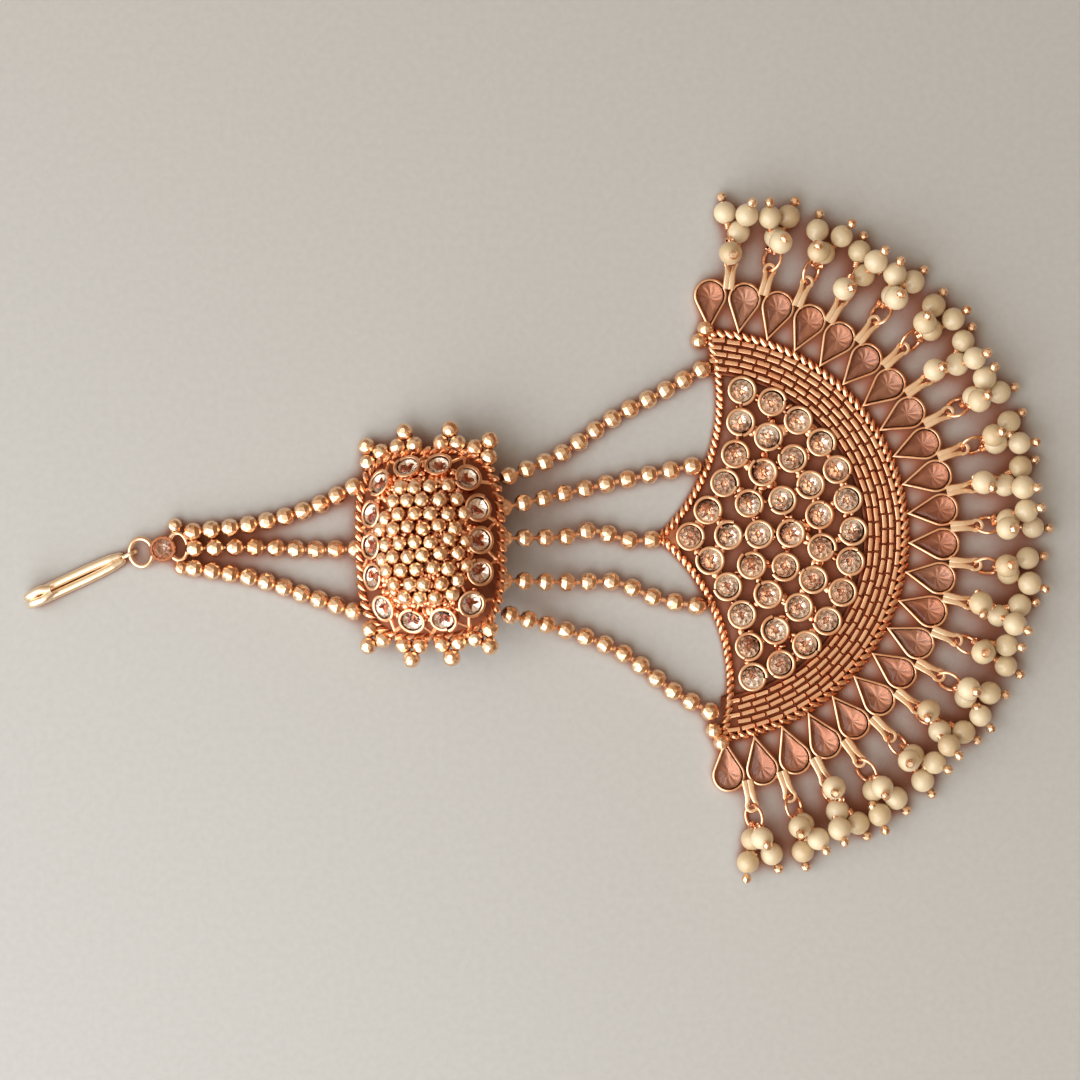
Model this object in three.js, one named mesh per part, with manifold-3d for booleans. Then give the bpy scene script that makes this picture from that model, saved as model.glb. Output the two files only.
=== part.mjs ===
// Jhoomar, a jewel worn at the side of the head, as it lies on a table: a folded hair hook,
// a stone link, three strings of beads, a domed plaque, five strings of beads and a fan whose
// rim carries teardrop settings, strap bails, jump rings and pearl drops.
// Millimetres, +Z up, +X from the hook towards the pearl fringe.
import * as THREE from "three";
import { mergeVertices } from "three/addons/utils/BufferGeometryUtils.js";
import Module from "manifold-3d";

const wasm = await Module();
wasm.setup();

// Shared
const GAP = 0.3; // clearance between neighbouring pieces
const SINK = 0.25; // how far soldered pieces reach into each other
const SETTING_SIDES = 8;
const WIRE_SIDES = 5;
const ROPE_SIDES = 6;
const BEAD_SIDES = 10;
const BELT_SHARE = 0.93; // radius of a meshed ball's two belts over its own
const BELT_HEIGHT_SHARE = 0.45; // their height over its middle

// Round stones in bezels, on the fan and on the plaque
const SETTING_RADIUS = 2.35;
const SETTING_HEIGHT = 2.1;
const SETTING_WALL = 0.45;
const CROWN_RISE = 0.45; // height of a stone's table over the bezel's rim
const TABLE_SHARE = 0.56; // width of a stone's table over the stone's width

// Fan
const FAN_TURN = 2.2; // degrees, how far the fan lies turned
const ROW_CLEARANCE = 0.32; // between the rims of one row and the next
const NEIGHBOUR_CLEARANCE = 0.4; // least distance between the rims in one row
const FIRST_ROW_SHARE = 0.837; // radius of the innermost row over the pitch of the rows
const APEX_SHARE = -0.387; // place of the single stone at the cusp over the pitch of the rows
const ROW_REACH = [75, 65, 66, 69.3, 72.5]; // half angle of each row, from the inside out
const BAND_WIDTH = 5.65;
const BAND_THICKNESS = 1.1;
const BAND_STEPS = 16;
const BACK_WIRE = 0.8; // width and height of the wires that the settings are soldered on
const ROPE_RADIUS = 0.75;
const EDGE_REACH = 86.6; // half angle at which the scalloped edge meets the outer rope
const BAND_INSET = 1.1; // degrees by which the band ends inside the edge's rope
const BAND_REACH = EDGE_REACH - BAND_INSET;
const EDGE_BULGE = 5.2; // how far each half of the scalloped edge bows inwards
const EDGE_STEPS = 7;
const RIM_STEPS = 18;
const CUSP_PLATE_THICKNESS = 0.9;
const CORNER_BEAD_RADIUS = 1.35;

// Teardrop settings and strap bails round the fan
const TEAR_COUNT = 22;
const TEAR_LENGTH = 8.4;
const TEAR_HEIGHT = 1.9;
const TEAR_WALL = 0.35;
const TEAR_CLEARANCE = 0.25; // between the lobes of neighbours
const TEAR_REACH = 85.9; // half angle of the first and the last
const TEAR_POINTS = 7; // points round the lobe, the tip comes on top
const TEAR_TABLE_PLACE = 0.2; // middle of the table before the lobe's, over the tip's distance
const BAIL_WIDTH = 1.9;
const BAIL_THICKNESS = 0.6;
const BAIL_ROOT = 2.2; // how far a bail reaches back between two lobes
const BAIL_REACH = 2.75; // from the lobes' ends to the middle of the eye
const EYE_RADIUS = 1.05;
const EYE_WALL = 0.4;
const EYE_SIDES = 5;
const EYE_STEPS = 3; // round the strap's outer end

// Jump rings and pearls
const RING_RADIUS = 1.975; // to the middle of the wire
const RING_WIRE = 0.275;
const RING_CLEAR = 0.05; // between a ring's wire and the rest plane
const RING_SEAT = 0.15; // how far the wire sits inside the middle of the bail's eye
const PEARL_RADIUS = 1.9;
const PEARL_LIFT = 0.05; // of the lowest pearls over the rest plane
// How the pearls of a ring lie, in turn round the fan, as shares of the pearl's radius,
// from the ring's middle: reach away from the fan, across to the side, lift over the low pearls.
const FALLS = [
  { lean: 52, pearls: [[1.95, -0.28, 0], [3.35, 0.74, 0], [1.65, 0.2, 1.55]] },
  { lean: -50, pearls: [[1.95, 0.33, 0], [3.57, -0.3, 0], [1.55, -0.1, 1.5]] },
  { lean: 54, pearls: [[1.95, -0.35, 0], [3.25, 0.8, 0]] },
];

// Plaque
const PLAQUE = { x: -43.6, y: -0.8, turn: 2, tiltAcross: -13, tiltAlong: -4 };
const PLAQUE_HALF_WIDTH = 11.5;
const PLAQUE_HALF_LENGTH = 15.3;
const PLAQUE_SQUARENESS = 3.4; // exponent of the rounded oblong
const PLAQUE_NARROWING = 0.69; // how the length shrinks against the width towards the top
const PLAQUE_SIDES = 18;
const PLAQUE_HEIGHT = 7.2;
const PLAQUE_STONES = 14;
const PLAQUE_STONE_INSET = 3;
const PLAQUE_SLOPE = 35; // degrees, of the stones' border
const PLAQUE_SETTING_RADIUS = 2.25;
const PLAQUE_SETTING_PROUD = 1.2; // bezel's rim over the border
const POCKET_DEPTH = 0.9;
const BEZEL_ROOT = 1; // how far a bezel reaches into the dome
const STUD_WIDTH = 5.3;
const STUD_REACH = 4.6;
const STUD_LIFT = 0.1;
const STUD_HEIGHT = 2.3;
const STUD_SHOULDER = 0.3; // where a stud begins to narrow, over its reach
const STUD_FRONT = 0.5; // width of its front, over its whole width
// Section of the plaque from the rim to the top: width as a share of the half width, height
// as a share of the whole height. The first rows round the rolled rim.
const PLAQUE_SECTION = [
  { width: 0, height: 0 },
  { width: 0.96, height: 0 },
  { width: 1, height: 0.09 },
  { width: 1, height: 0.17 },
  { width: 0.94, height: 0.24 },
  { width: 0.56, height: 0.68 },
  { width: 0.36, height: 0.9 },
  { width: 0, height: 1 },
];
// Places of the studs on the rim, in degrees of the oblong's own angle
const STUD_ANGLES = [52, 75, 107, 128];

// Stone link between hook and strings
const LINK = { x: -87.1, y: -2.1, turn: 9 };
const LINK_SETTING_RADIUS = 2;
const LINK_SETTING_LIFT = 0.2;
const LINK_SETTING_HEIGHT = 2.5;
const LINK_WALL = 0.4;
const LOOP_WIRE = 0.4;
const HOOK_LOOP = { across: 1.85, along: 2.25 }; // half sizes to the middle of the wire
const STRING_LOOP = { across: 1.45, along: 2.2 };
const LOOP_LIFT = 1.35;
const LINK_BEAD_RADIUS = 1.25;
const LINK_BEAD_ROOT = 0.375; // how far a bead reaches into the loop
const STRING_LOOP_ROOT = 1; // how far the second loop reaches into the bezel

// Hook: one wire folded in two, its closed end turned back over the legs
const HOOK_TURN = 25;
const HOOK_WIRE = 0.75;
const HOOK_EYE_RADIUS = 1.1;
const HOOK_EYE_WIRE = 0.3;
const HOOK_LENGTH = 16.6; // from the eye to the fold
const HOOK_FOLD = 2.5; // height from the legs to the turned back end
const HOOK_TIP = 3.9; // length of the turned back end
const HOOK_STEPS = 11;
const HOOK_SIDES = 6;
// Half of the hook: along as a share of the length, out as a share of the wire's radius, up as
// a share of the fold's height, back as a share of the tip's length.
const HOOK_ROUTE = [
  { along: 0, out: 0.55, up: 0.02, back: 0 },
  { along: 0.12, out: 0.8, up: 0.02, back: 0 },
  { along: 0.35, out: 1.02, up: 0.02, back: 0 },
  { along: 0.65, out: 1.02, up: 0.02, back: 0 },
  { along: 0.9, out: 0.9, up: 0.02, back: 0 },
  { along: 0.98, out: 0.85, up: 0.12, back: 0 },
  { along: 1, out: 0.85, up: 0.5, back: -0.02 },
  { along: 1, out: 0.85, up: 0.9, back: 0.2 },
  { along: 1, out: 1, up: 1, back: 0.6 },
  { along: 1, out: 0.4, up: 0.94, back: 1 },
];

// Strings of beads: radius, and the chosen points that each string passes, from its first bead
// to its last, in the jewel's plan with the fan's middle as zero
const BEAD_RADIUS = 1.35;
const STRING_SIDES = 8;
const STRING_STEP = 3; // length of a step over the bead's diameter
const STRING_ROUTES = {
  upper_chain_1: [[-82.8, 0.6, 1.5], [-72.7, 1.9, 1.45], [-63.7, 4.3, 1.45], [-55.9, 8.1, 1.7]],
  upper_chain_2: [[-82.5, -2.0, 1.5], [-72.1, -1.8, 1.45], [-63.3, -2.2, 1.45], [-55.5, -2.1, 1.8]],
  upper_chain_3: [[-82.6, -5.1, 1.5], [-72.6, -6.8, 1.45], [-63.9, -9.6, 1.45], [-55.9, -12.3, 2]],
  lower_chain_1: [[-31.85, 9.3, 4.85], [-23.1, 13.1, 1.9], [-14.6, 18.9, 1.5], [-5.9, 23.6, 1.5],
    [0.35, 27.2, 1.5]],
  lower_chain_2: [[-32.6, 4.4, 5.85], [-21.1, 7.1, 2.1], [-11.4, 9.3, 1.5], [-1.2, 11.4, 1.5]],
  lower_chain_3: [[-32.5, -0.4, 6.2], [-21.2, 0, 2.3], [-17.9, 0.9, 1.7], [-11.8, -0.7, 1.5],
    [-7.8, -0.6, 1.5]],
  lower_chain_4: [[-32.6, -7.1, 6.4], [-20.8, -7.5, 2.3], [-13.8, -7.5, 1.6], [-7.6, -10, 1.5],
    [-0.45, -11.4, 1.5]],
  lower_chain_5: [[-31.6, -12.5, 6.2], [-22.7, -15, 2.3], [-12.9, -18.9, 1.6], [-4.5, -25.2, 1.5],
    [1.75, -28.65, 1.5]],
};

const GOLD = { color: 0xd39a6a, roughness: 0.28, metalness: 1 };
const PALE_GOLD = { color: 0xe3c08a, roughness: 0.3, metalness: 1 };
const CRYSTAL = { color: 0xe9cdb4, roughness: 0.08, metalness: 0 };
const PEARL = { color: 0xe9dcc2, roughness: 0.3, metalness: 0 };

const radians = THREE.MathUtils.degToRad;

// A closed geometry as a solid for joining and cutting
function solidOf(geometry) {
  const bare = new THREE.BufferGeometry();
  const source = geometry.index ? geometry.toNonIndexed() : geometry;
  bare.setAttribute("position", source.getAttribute("position"));
  const merged = mergeVertices(bare, 1e-4);
  return new wasm.Manifold(new wasm.Mesh({
    numProp: 3,
    vertProperties: new Float32Array(merged.attributes.position.array),
    triVerts: new Uint32Array(merged.index.array),
  }));
}

function geometryOf(solid) {
  const mesh = solid.getMesh();
  const geometry = new THREE.BufferGeometry();
  geometry.setAttribute("position", new THREE.BufferAttribute(mesh.vertProperties, 3));
  geometry.setIndex(new THREE.BufferAttribute(mesh.triVerts, 1));
  geometry.computeVertexNormals();
  return geometry;
}

// A solid turned by three angles in degrees (about X, then Y, then Z) and moved
function placed(solid, position, turns = [0, 0, 0]) {
  const euler = new THREE.Euler(...turns.map(radians), "ZYX");
  const matrix = new THREE.Matrix4().makeRotationFromEuler(euler).setPosition(...position);
  return solid.transform(matrix.elements);
}

const joined = (solids) => solids.reduce((whole, solid) => whole.add(solid));

// A solid of revolution about Z, from [radius, height] pairs that start and end on the axis
function turned(profile, sides) {
  const points = profile.map(([radius, height]) => new THREE.Vector2(radius, height));
  return new THREE.LatheGeometry(points, sides).rotateX(Math.PI / 2);
}

// A flat outline of [x, y] pairs, with holes, as a plate from one height to another
function plate(outline, from, to, holes = []) {
  const shape = new THREE.Shape(outline.map(([x, y]) => new THREE.Vector2(x, y)));
  for (const hole of holes) {
    shape.holes.push(new THREE.Path(hole.map(([x, y]) => new THREE.Vector2(x, y))));
  }
  const geometry = new THREE.ExtrudeGeometry(shape, { depth: to - from, bevelEnabled: false });
  return geometry.translate(0, 0, from);
}

// Points of an arc from one angle to another, in degrees
function arc(radius, from, to, steps, centre = [0, 0]) {
  return Array.from({ length: steps + 1 }, (_, i) => {
    const angle = radians(from + ((to - from) * i) / steps);
    return [centre[0] + radius * Math.cos(angle), centre[1] + radius * Math.sin(angle)];
  });
}

// Corners of an even polygon
const ringOf = (radius, sides = SETTING_SIDES) =>
  arc(radius, 0, 360 - 360 / sides, sides - 1);

function polygon(radius, sides) {
  return new THREE.Shape(ringOf(radius, sides).map(([x, y]) => new THREE.Vector2(x, y)));
}

// A round wire along a curve, with flat ends
function wire(curve, radius, sides, steps) {
  return new THREE.ExtrudeGeometry(polygon(radius, sides),
    { steps, extrudePath: curve, bevelEnabled: false });
}

const through = (points) =>
  new THREE.CatmullRomCurve3(points.map((point) => new THREE.Vector3(...point)));

// A ball of two belts and two poles, its axis along Z
function ball(radius) {
  const belt = BELT_SHARE * radius;
  const height = BELT_HEIGHT_SHARE * radius;
  return turned([[0, -radius], [belt, -height], [belt, height], [0, radius]], BEAD_SIDES);
}

// A bezel whose wall is drawn in over its stone, then the stone's crown and table
function roundSetting(radius, height) {
  const stone = radius - SETTING_WALL;
  const top = height + CROWN_RISE;
  return turned([[0, 0], [radius, 0], [stone, height], [stone * TABLE_SHARE, top], [0, top]],
    SETTING_SIDES);
}

// The crown of a cut stone alone, from its seat to its table
function looseStone(radius, height) {
  return turned([[0, 0], [radius, 0], [radius * TABLE_SHARE, height], [0, height]],
    SETTING_SIDES);
}

// Fan: places worked outwards from its middle
const ROW_PITCH = 2 * SETTING_RADIUS + ROW_CLEARANCE;
const rowRadius = (row) => ROW_PITCH * (FIRST_ROW_SHARE + row);
const APEX = ROW_PITCH * APEX_SHARE;
const CUSP = APEX - ROW_PITCH;
const BAND_INNER = rowRadius(ROW_REACH.length - 1) + SETTING_RADIUS;
const BAND_OUTER = BAND_INNER + BAND_WIDTH;
const RIM_RADIUS = BAND_OUTER + ROPE_RADIUS - SINK / 2;
const TEAR_TIP = RIM_RADIUS + SINK;
const TEAR_PITCH = (2 * TEAR_REACH) / (TEAR_COUNT - 1);
// Lobes stand side by side: pitch in radians times the radius to the lobes' centres
const TEAR_WIDTH = (radians(TEAR_PITCH) * (TEAR_TIP + TEAR_LENGTH) - TEAR_CLEARANCE)
  / (1 + radians(TEAR_PITCH) / 2);
const LOBE_RADIUS = TEAR_WIDTH / 2;
const LOBE_CENTRE = TEAR_TIP + TEAR_LENGTH - LOBE_RADIUS;
const EYE_CENTRE = TEAR_TIP + TEAR_LENGTH + BAIL_REACH;

function rowSteps(row) {
  const spacing = 2 * SETTING_RADIUS + NEIGHBOUR_CLEARANCE;
  return Math.floor((2 * radians(ROW_REACH[row]) * rowRadius(row)) / spacing);
}

// Settings row by row on back wires, which a middle wire joins to each other and to the band
function stoneField() {
  const setting = solidOf(roundSetting(SETTING_RADIUS, SETTING_HEIGHT));
  const settings = [[APEX, 0]];
  const wires = [];
  ROW_REACH.forEach((reach, row) => {
    const radius = rowRadius(row);
    const steps = rowSteps(row);
    settings.push(...arc(radius, -reach, reach, steps));
    const strip = [
      ...arc(radius - BACK_WIRE / 2, -reach, reach, steps),
      ...arc(radius + BACK_WIRE / 2, reach, -reach, steps),
    ];
    wires.push(solidOf(plate(strip, 0, BACK_WIRE)));
  });
  const spoke = new THREE.BoxGeometry(BAND_INNER + SINK - APEX, BACK_WIRE, BACK_WIRE);
  wires.push(solidOf(spoke.translate((BAND_INNER + SINK + APEX) / 2, 0, BACK_WIRE / 2)));
  const flatToWire = 180 / SETTING_SIDES;
  const seated = settings.map(([x, y]) => placed(setting, [x, y, 0],
    [0, 0, THREE.MathUtils.radToDeg(Math.atan2(y, x)) + flatToWire]));
  return joined([...seated, ...wires]);
}

// One half of the scalloped edge, from the cusp to the rim, as an arc that bows inwards
function edgeArc(side) {
  const corner = [
    RIM_RADIUS * Math.cos(radians(EDGE_REACH)),
    RIM_RADIUS * Math.sin(radians(EDGE_REACH)),
  ];
  const chord = [corner[0] - CUSP, corner[1]];
  const half = Math.hypot(...chord) / 2;
  const radius = (half * half + EDGE_BULGE * EDGE_BULGE) / (2 * EDGE_BULGE);
  const middle = [CUSP + chord[0] / 2, chord[1] / 2];
  const inwards = [chord[1] / (2 * half), -chord[0] / (2 * half)];
  const back = radius - EDGE_BULGE;
  const centre = [middle[0] - inwards[0] * back, middle[1] - inwards[1] * back];
  const opening = THREE.MathUtils.radToDeg(Math.asin(half / radius));
  const facing = THREE.MathUtils.radToDeg(Math.atan2(inwards[1], inwards[0]));
  return arc(radius, facing - opening, facing + opening, EDGE_STEPS, centre)
    .map(([x, y]) => [x, side * y]);
}

function fanFrame() {
  const band = [
    ...arc(BAND_INNER, -BAND_REACH, BAND_REACH, BAND_STEPS),
    ...arc(BAND_OUTER, BAND_REACH, -BAND_REACH, BAND_STEPS),
  ];
  const flat = (points) => through(points.map(([x, y]) => [x, y, ROPE_RADIUS]));
  const rim = flat(arc(RIM_RADIUS, -EDGE_REACH, EDGE_REACH, RIM_STEPS));
  const cusp = edgeArc(1)[2];
  const corner = edgeArc(1)[EDGE_STEPS];
  return [
    solidOf(plate(band, 0, BAND_THICKNESS)),
    solidOf(wire(rim, ROPE_RADIUS, ROPE_SIDES, RIM_STEPS)),
    ...[1, -1].flatMap((side) => [
      solidOf(wire(flat(edgeArc(side)), ROPE_RADIUS, ROPE_SIDES, EDGE_STEPS)),
      placed(solidOf(ball(CORNER_BEAD_RADIUS)),
        [corner[0] - CORNER_BEAD_RADIUS, side * (corner[1] - CORNER_BEAD_RADIUS),
          CORNER_BEAD_RADIUS], [0, 90, 0]),
    ]),
    solidOf(plate([[CUSP, 0], [cusp[0], -cusp[1]], [APEX, 0], cusp], 0, CUSP_PLATE_THICKNESS)),
  ];
}

// Outline of a teardrop along +X: its tip, then the lobe between the tangents from the tip
function tearOutline(wall) {
  const lobe = LOBE_RADIUS - wall;
  const reach = LOBE_CENTRE - TEAR_TIP - (wall * (LOBE_CENTRE - TEAR_TIP)) / LOBE_RADIUS;
  const open = THREE.MathUtils.radToDeg(Math.acos(lobe / reach));
  return [
    [LOBE_CENTRE - reach, 0],
    ...arc(lobe, open - 180, 180 - open, TEAR_POINTS - 1, [LOBE_CENTRE, 0]),
  ];
}

// Closed solid through outlines of equal length, each [points, height], from the bottom up
function stacked(levels) {
  const count = levels[0][0].length;
  const position = levels.flatMap(([points, height]) => points.flatMap(([x, y]) =>
    [x, y, height]));
  const index = [];
  for (let level = 0; level < levels.length - 1; level += 1) {
    for (let i = 0; i < count; i += 1) {
      const a = level * count + i;
      const b = level * count + ((i + 1) % count);
      index.push(a, b, b + count, a, b + count, a + count);
    }
  }
  const faces = (points) => THREE.ShapeUtils.triangulateShape(
    points.map(([x, y]) => new THREE.Vector2(x, y)), []);
  const last = (levels.length - 1) * count;
  for (const [a, b, c] of faces(levels[0][0])) index.push(a, c, b);
  for (const [a, b, c] of faces(levels.at(-1)[0])) index.push(last + a, last + b, last + c);
  const geometry = new THREE.BufferGeometry();
  geometry.setAttribute("position", new THREE.Float32BufferAttribute(position, 3));
  return geometry.setIndex(index);
}

function tearSetting() {
  const outer = tearOutline(0);
  const stone = tearOutline(TEAR_WALL);
  const middle = LOBE_CENTRE - (LOBE_CENTRE - TEAR_TIP) * TEAR_TABLE_PLACE;
  const table = stone.map(([x, y]) => [
    middle + (x - middle) * TABLE_SHARE,
    y * TABLE_SHARE,
  ]);
  return stacked([
    [outer, 0],
    [stone, TEAR_HEIGHT],
    [table, TEAR_HEIGHT + CROWN_RISE],
  ]);
}

// Height at which a ring that leans hangs clear of the rest plane
const ringLift = (lean) =>
  RING_RADIUS * Math.sin(radians(Math.abs(lean))) + RING_WIRE + RING_CLEAR;
const BAIL_LIFT = ringLift(FALLS[0].lean) - BAIL_THICKNESS / 2;

function strapBail() {
  const root = TEAR_TIP + TEAR_LENGTH - BAIL_ROOT;
  const eye = EYE_RADIUS + EYE_WALL;
  const outline = [
    [root, -BAIL_WIDTH / 2],
    ...arc(eye, -90, 90, EYE_STEPS, [EYE_CENTRE, 0]),
    [root, BAIL_WIDTH / 2],
  ];
  const hole = ringOf(EYE_RADIUS, EYE_SIDES).map(([x, y]) => [x + EYE_CENTRE, y]);
  return plate(outline, BAIL_LIFT, BAIL_LIFT + BAIL_THICKNESS, [hole]);
}

function fan() {
  const tear = solidOf(tearSetting());
  const bail = solidOf(strapBail());
  const border = [];
  for (let i = 0; i < TEAR_COUNT; i += 1) {
    border.push(placed(tear, [0, 0, 0], [0, 0, i * TEAR_PITCH - TEAR_REACH]));
  }
  for (let i = 0; i < TEAR_COUNT - 1; i += 1) {
    border.push(placed(bail, [0, 0, 0], [0, 0, (i + 0.5) * TEAR_PITCH - TEAR_REACH]));
  }
  return geometryOf(joined([...fanFrame(), stoneField(), ...border]));
}

// A jump ring through the bail's eye with its pearls, along +X
function pearlCluster(index) {
  const fall = FALLS[index % FALLS.length];
  const centre = EYE_CENTRE - RING_SEAT + RING_RADIUS;
  const ring = placed(solidOf(new THREE.TorusGeometry(RING_RADIUS, RING_WIRE, WIRE_SIDES,
    BEAD_SIDES)), [centre, 0, ringLift(fall.lean)], [fall.lean, 0, 0]);
  const pearl = solidOf(ball(PEARL_RADIUS));
  const pearls = fall.pearls.map(([reach, across, lift]) => placed(pearl, [
    centre + reach * PEARL_RADIUS,
    across * PEARL_RADIUS,
    PEARL_LIFT + (1 + lift) * PEARL_RADIUS,
  ]));
  return geometryOf(joined([ring, ...pearls]));
}

// Plaque: the rounded oblong at a given half width, with the outward direction at each point
function oblong(halfWidth, angle) {
  const length = PLAQUE_HALF_LENGTH * (halfWidth / PLAQUE_HALF_WIDTH) ** PLAQUE_NARROWING;
  const along = Math.abs(Math.cos(angle) / halfWidth) ** PLAQUE_SQUARENESS;
  const across = Math.abs(Math.sin(angle) / length) ** PLAQUE_SQUARENESS;
  const distance = (along + across) ** (-1 / PLAQUE_SQUARENESS);
  return [distance * Math.cos(angle), distance * Math.sin(angle)];
}

function outwardAt(halfWidth, angle) {
  const before = oblong(halfWidth, angle - 0.01);
  const after = oblong(halfWidth, angle + 0.01);
  return Math.atan2(before[0] - after[0], after[1] - before[1]);
}

// Angles that part the oblong into equal lengths, from the middle of its right side
function equalAngles(halfWidth, count) {
  const samples = 1440;
  const angles = Array.from({ length: samples + 1 }, (_, i) => (2 * Math.PI * i) / samples);
  const lengths = [0];
  for (let i = 1; i <= samples; i += 1) {
    const [x0, y0] = oblong(halfWidth, angles[i - 1]);
    const [x1, y1] = oblong(halfWidth, angles[i]);
    lengths.push(lengths[i - 1] + Math.hypot(x1 - x0, y1 - y0));
  }
  return Array.from({ length: count }, (_, k) =>
    angles[lengths.findIndex((length) => length >= (k / count) * lengths[samples])]);
}

function plaqueBody() {
  const profile = PLAQUE_SECTION.map(({ width, height }) =>
    [width * PLAQUE_HALF_WIDTH, height * PLAQUE_HEIGHT]);
  const dome = turned(profile, PLAQUE_SIDES);
  const position = dome.getAttribute("position");
  for (let i = 0; i < position.count; i += 1) {
    const radius = Math.hypot(position.getX(i), position.getY(i));
    if (radius > 1e-6) {
      const angle = Math.atan2(position.getY(i), position.getX(i));
      position.setXY(i, ...oblong(radius, angle));
    }
  }
  return solidOf(dome);
}

// Places of the plaque's stones: [x, y, height, outward angle in degrees]
function plaqueStonePlaces() {
  const halfWidth = PLAQUE_HALF_WIDTH - PLAQUE_STONE_INSET;
  const [low, high] = [PLAQUE_SECTION[4], PLAQUE_SECTION[5]];
  const share = (low.width - halfWidth / PLAQUE_HALF_WIDTH) / (low.width - high.width);
  const height = PLAQUE_HEIGHT * (low.height + share * (high.height - low.height));
  return equalAngles(halfWidth, PLAQUE_STONES).map((angle) => [
    ...oblong(halfWidth, angle),
    height,
    THREE.MathUtils.radToDeg(outwardAt(halfWidth, angle)),
  ]);
}

// Puts a piece that stands upright at zero onto the plaque's sloping border, at a stone's place
function onBorder(solid, [x, y, height, outward], proud) {
  const tilt = radians(PLAQUE_SLOPE);
  const aside = Math.sin(tilt) * proud;
  return placed(solid, [
    x + aside * Math.cos(radians(outward)),
    y + aside * Math.sin(radians(outward)),
    height + Math.cos(tilt) * proud,
  ], [0, PLAQUE_SLOPE, outward]);
}

const POCKET_RADIUS = PLAQUE_SETTING_RADIUS - SETTING_WALL;
const POCKET_FLOOR = PLAQUE_SETTING_PROUD - POCKET_DEPTH;

function plaque() {
  const bezel = solidOf(plate(ringOf(PLAQUE_SETTING_RADIUS), -BEZEL_ROOT, PLAQUE_SETTING_PROUD));
  const pocket = solidOf(plate(ringOf(POCKET_RADIUS), POCKET_FLOOR,
    PLAQUE_SETTING_PROUD + CROWN_RISE));
  const places = plaqueStonePlaces();
  const side = STUD_WIDTH / 2;
  const stud = solidOf(plate([
    [-STUD_REACH / 2, -side],
    [STUD_REACH * STUD_SHOULDER, -side],
    [STUD_REACH, -side * STUD_FRONT],
    [STUD_REACH, side * STUD_FRONT],
    [STUD_REACH * STUD_SHOULDER, side],
    [-STUD_REACH / 2, side],
  ], STUD_LIFT, STUD_HEIGHT));
  const studs = [...STUD_ANGLES, ...STUD_ANGLES.map((angle) => -angle)].map((angle) => {
    const [x, y] = oblong(PLAQUE_HALF_WIDTH, radians(angle));
    const outward = THREE.MathUtils.radToDeg(outwardAt(PLAQUE_HALF_WIDTH, radians(angle)));
    return placed(stud, [x, y, 0], [0, 0, outward]);
  });
  const settings = places.map((place) => onBorder(bezel, place, 0));
  const pockets = joined(places.map((place) => onBorder(pocket, place, 0)));
  return joined([plaqueBody(), ...studs, ...settings]).subtract(pockets);
}

function plaqueStone(place) {
  const stone = solidOf(looseStone(POCKET_RADIUS - GAP, POCKET_DEPTH - GAP + CROWN_RISE));
  return onBorder(stone, place, POCKET_FLOOR + GAP);
}

// Stone link: two oval loops, a bezel with a pocket and the beads that the strings leave from
const LINK_POCKET = LINK_SETTING_RADIUS - LINK_WALL;

function ovalLoop({ across, along }, x) {
  const ring = new THREE.TorusGeometry(1, LOOP_WIRE, WIRE_SIDES, BEAD_SIDES);
  const position = ring.getAttribute("position");
  for (let i = 0; i < position.count; i += 1) {
    const angle = Math.atan2(position.getY(i), position.getX(i));
    position.setXY(i,
      position.getX(i) + (across - 1) * Math.cos(angle),
      position.getY(i) + (along - 1) * Math.sin(angle));
  }
  return placed(solidOf(ring), [x, 0, LOOP_LIFT]);
}

const HOOK_LOOP_PLACE = -(LINK_SETTING_RADIUS + HOOK_LOOP.across - SINK);
const STRING_LOOP_PLACE = LINK_SETTING_RADIUS + STRING_LOOP.across - STRING_LOOP_ROOT;

function stoneLink() {
  const bezel = solidOf(turned([[0, LINK_SETTING_LIFT], [LINK_SETTING_RADIUS, LINK_SETTING_LIFT],
    [LINK_SETTING_RADIUS, LINK_SETTING_HEIGHT], [0, LINK_SETTING_HEIGHT]], SETTING_SIDES));
  const pocket = solidOf(turned([[0, LINK_SETTING_HEIGHT - POCKET_DEPTH],
    [LINK_POCKET, LINK_SETTING_HEIGHT - POCKET_DEPTH],
    [LINK_POCKET, LINK_SETTING_HEIGHT + CROWN_RISE], [0, LINK_SETTING_HEIGHT + CROWN_RISE]],
  SETTING_SIDES));
  const beads = [1, -1].map((side) => placed(solidOf(ball(LINK_BEAD_RADIUS)), [
    STRING_LOOP_PLACE,
    side * (STRING_LOOP.along + LOOP_WIRE + LINK_BEAD_RADIUS - LINK_BEAD_ROOT),
    LOOP_LIFT,
  ], [0, 90, 0]));
  return geometryOf(joined([
    bezel,
    ovalLoop(HOOK_LOOP, HOOK_LOOP_PLACE),
    ovalLoop(STRING_LOOP, STRING_LOOP_PLACE),
    ...beads,
  ]).subtract(pocket));
}

// Hook: its eye grips the far side of the link's first loop
function hairHook() {
  const route = (side) => through(HOOK_ROUTE.map(({ along, out, up, back }) => [
    -along * HOOK_LENGTH + back * HOOK_TIP - HOOK_EYE_RADIUS,
    side * out * HOOK_WIRE,
    HOOK_WIRE + up * HOOK_FOLD,
  ]));
  const legs = [1, -1].map((side) => solidOf(wire(route(side), HOOK_WIRE, HOOK_SIDES,
    HOOK_STEPS)));
  const eye = placed(solidOf(new THREE.TorusGeometry(HOOK_EYE_RADIUS, HOOK_EYE_WIRE,
    WIRE_SIDES, BEAD_SIDES)), [0, 0, LOOP_LIFT], [90, 0, 0]);
  return geometryOf(joined([...legs, eye]));
}

function beadString(points) {
  const curve = through(points);
  const steps = Math.ceil(curve.getLength() / (STRING_STEP * 2 * BEAD_RADIUS));
  return wire(curve, BEAD_RADIUS, STRING_SIDES, steps);
}

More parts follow.
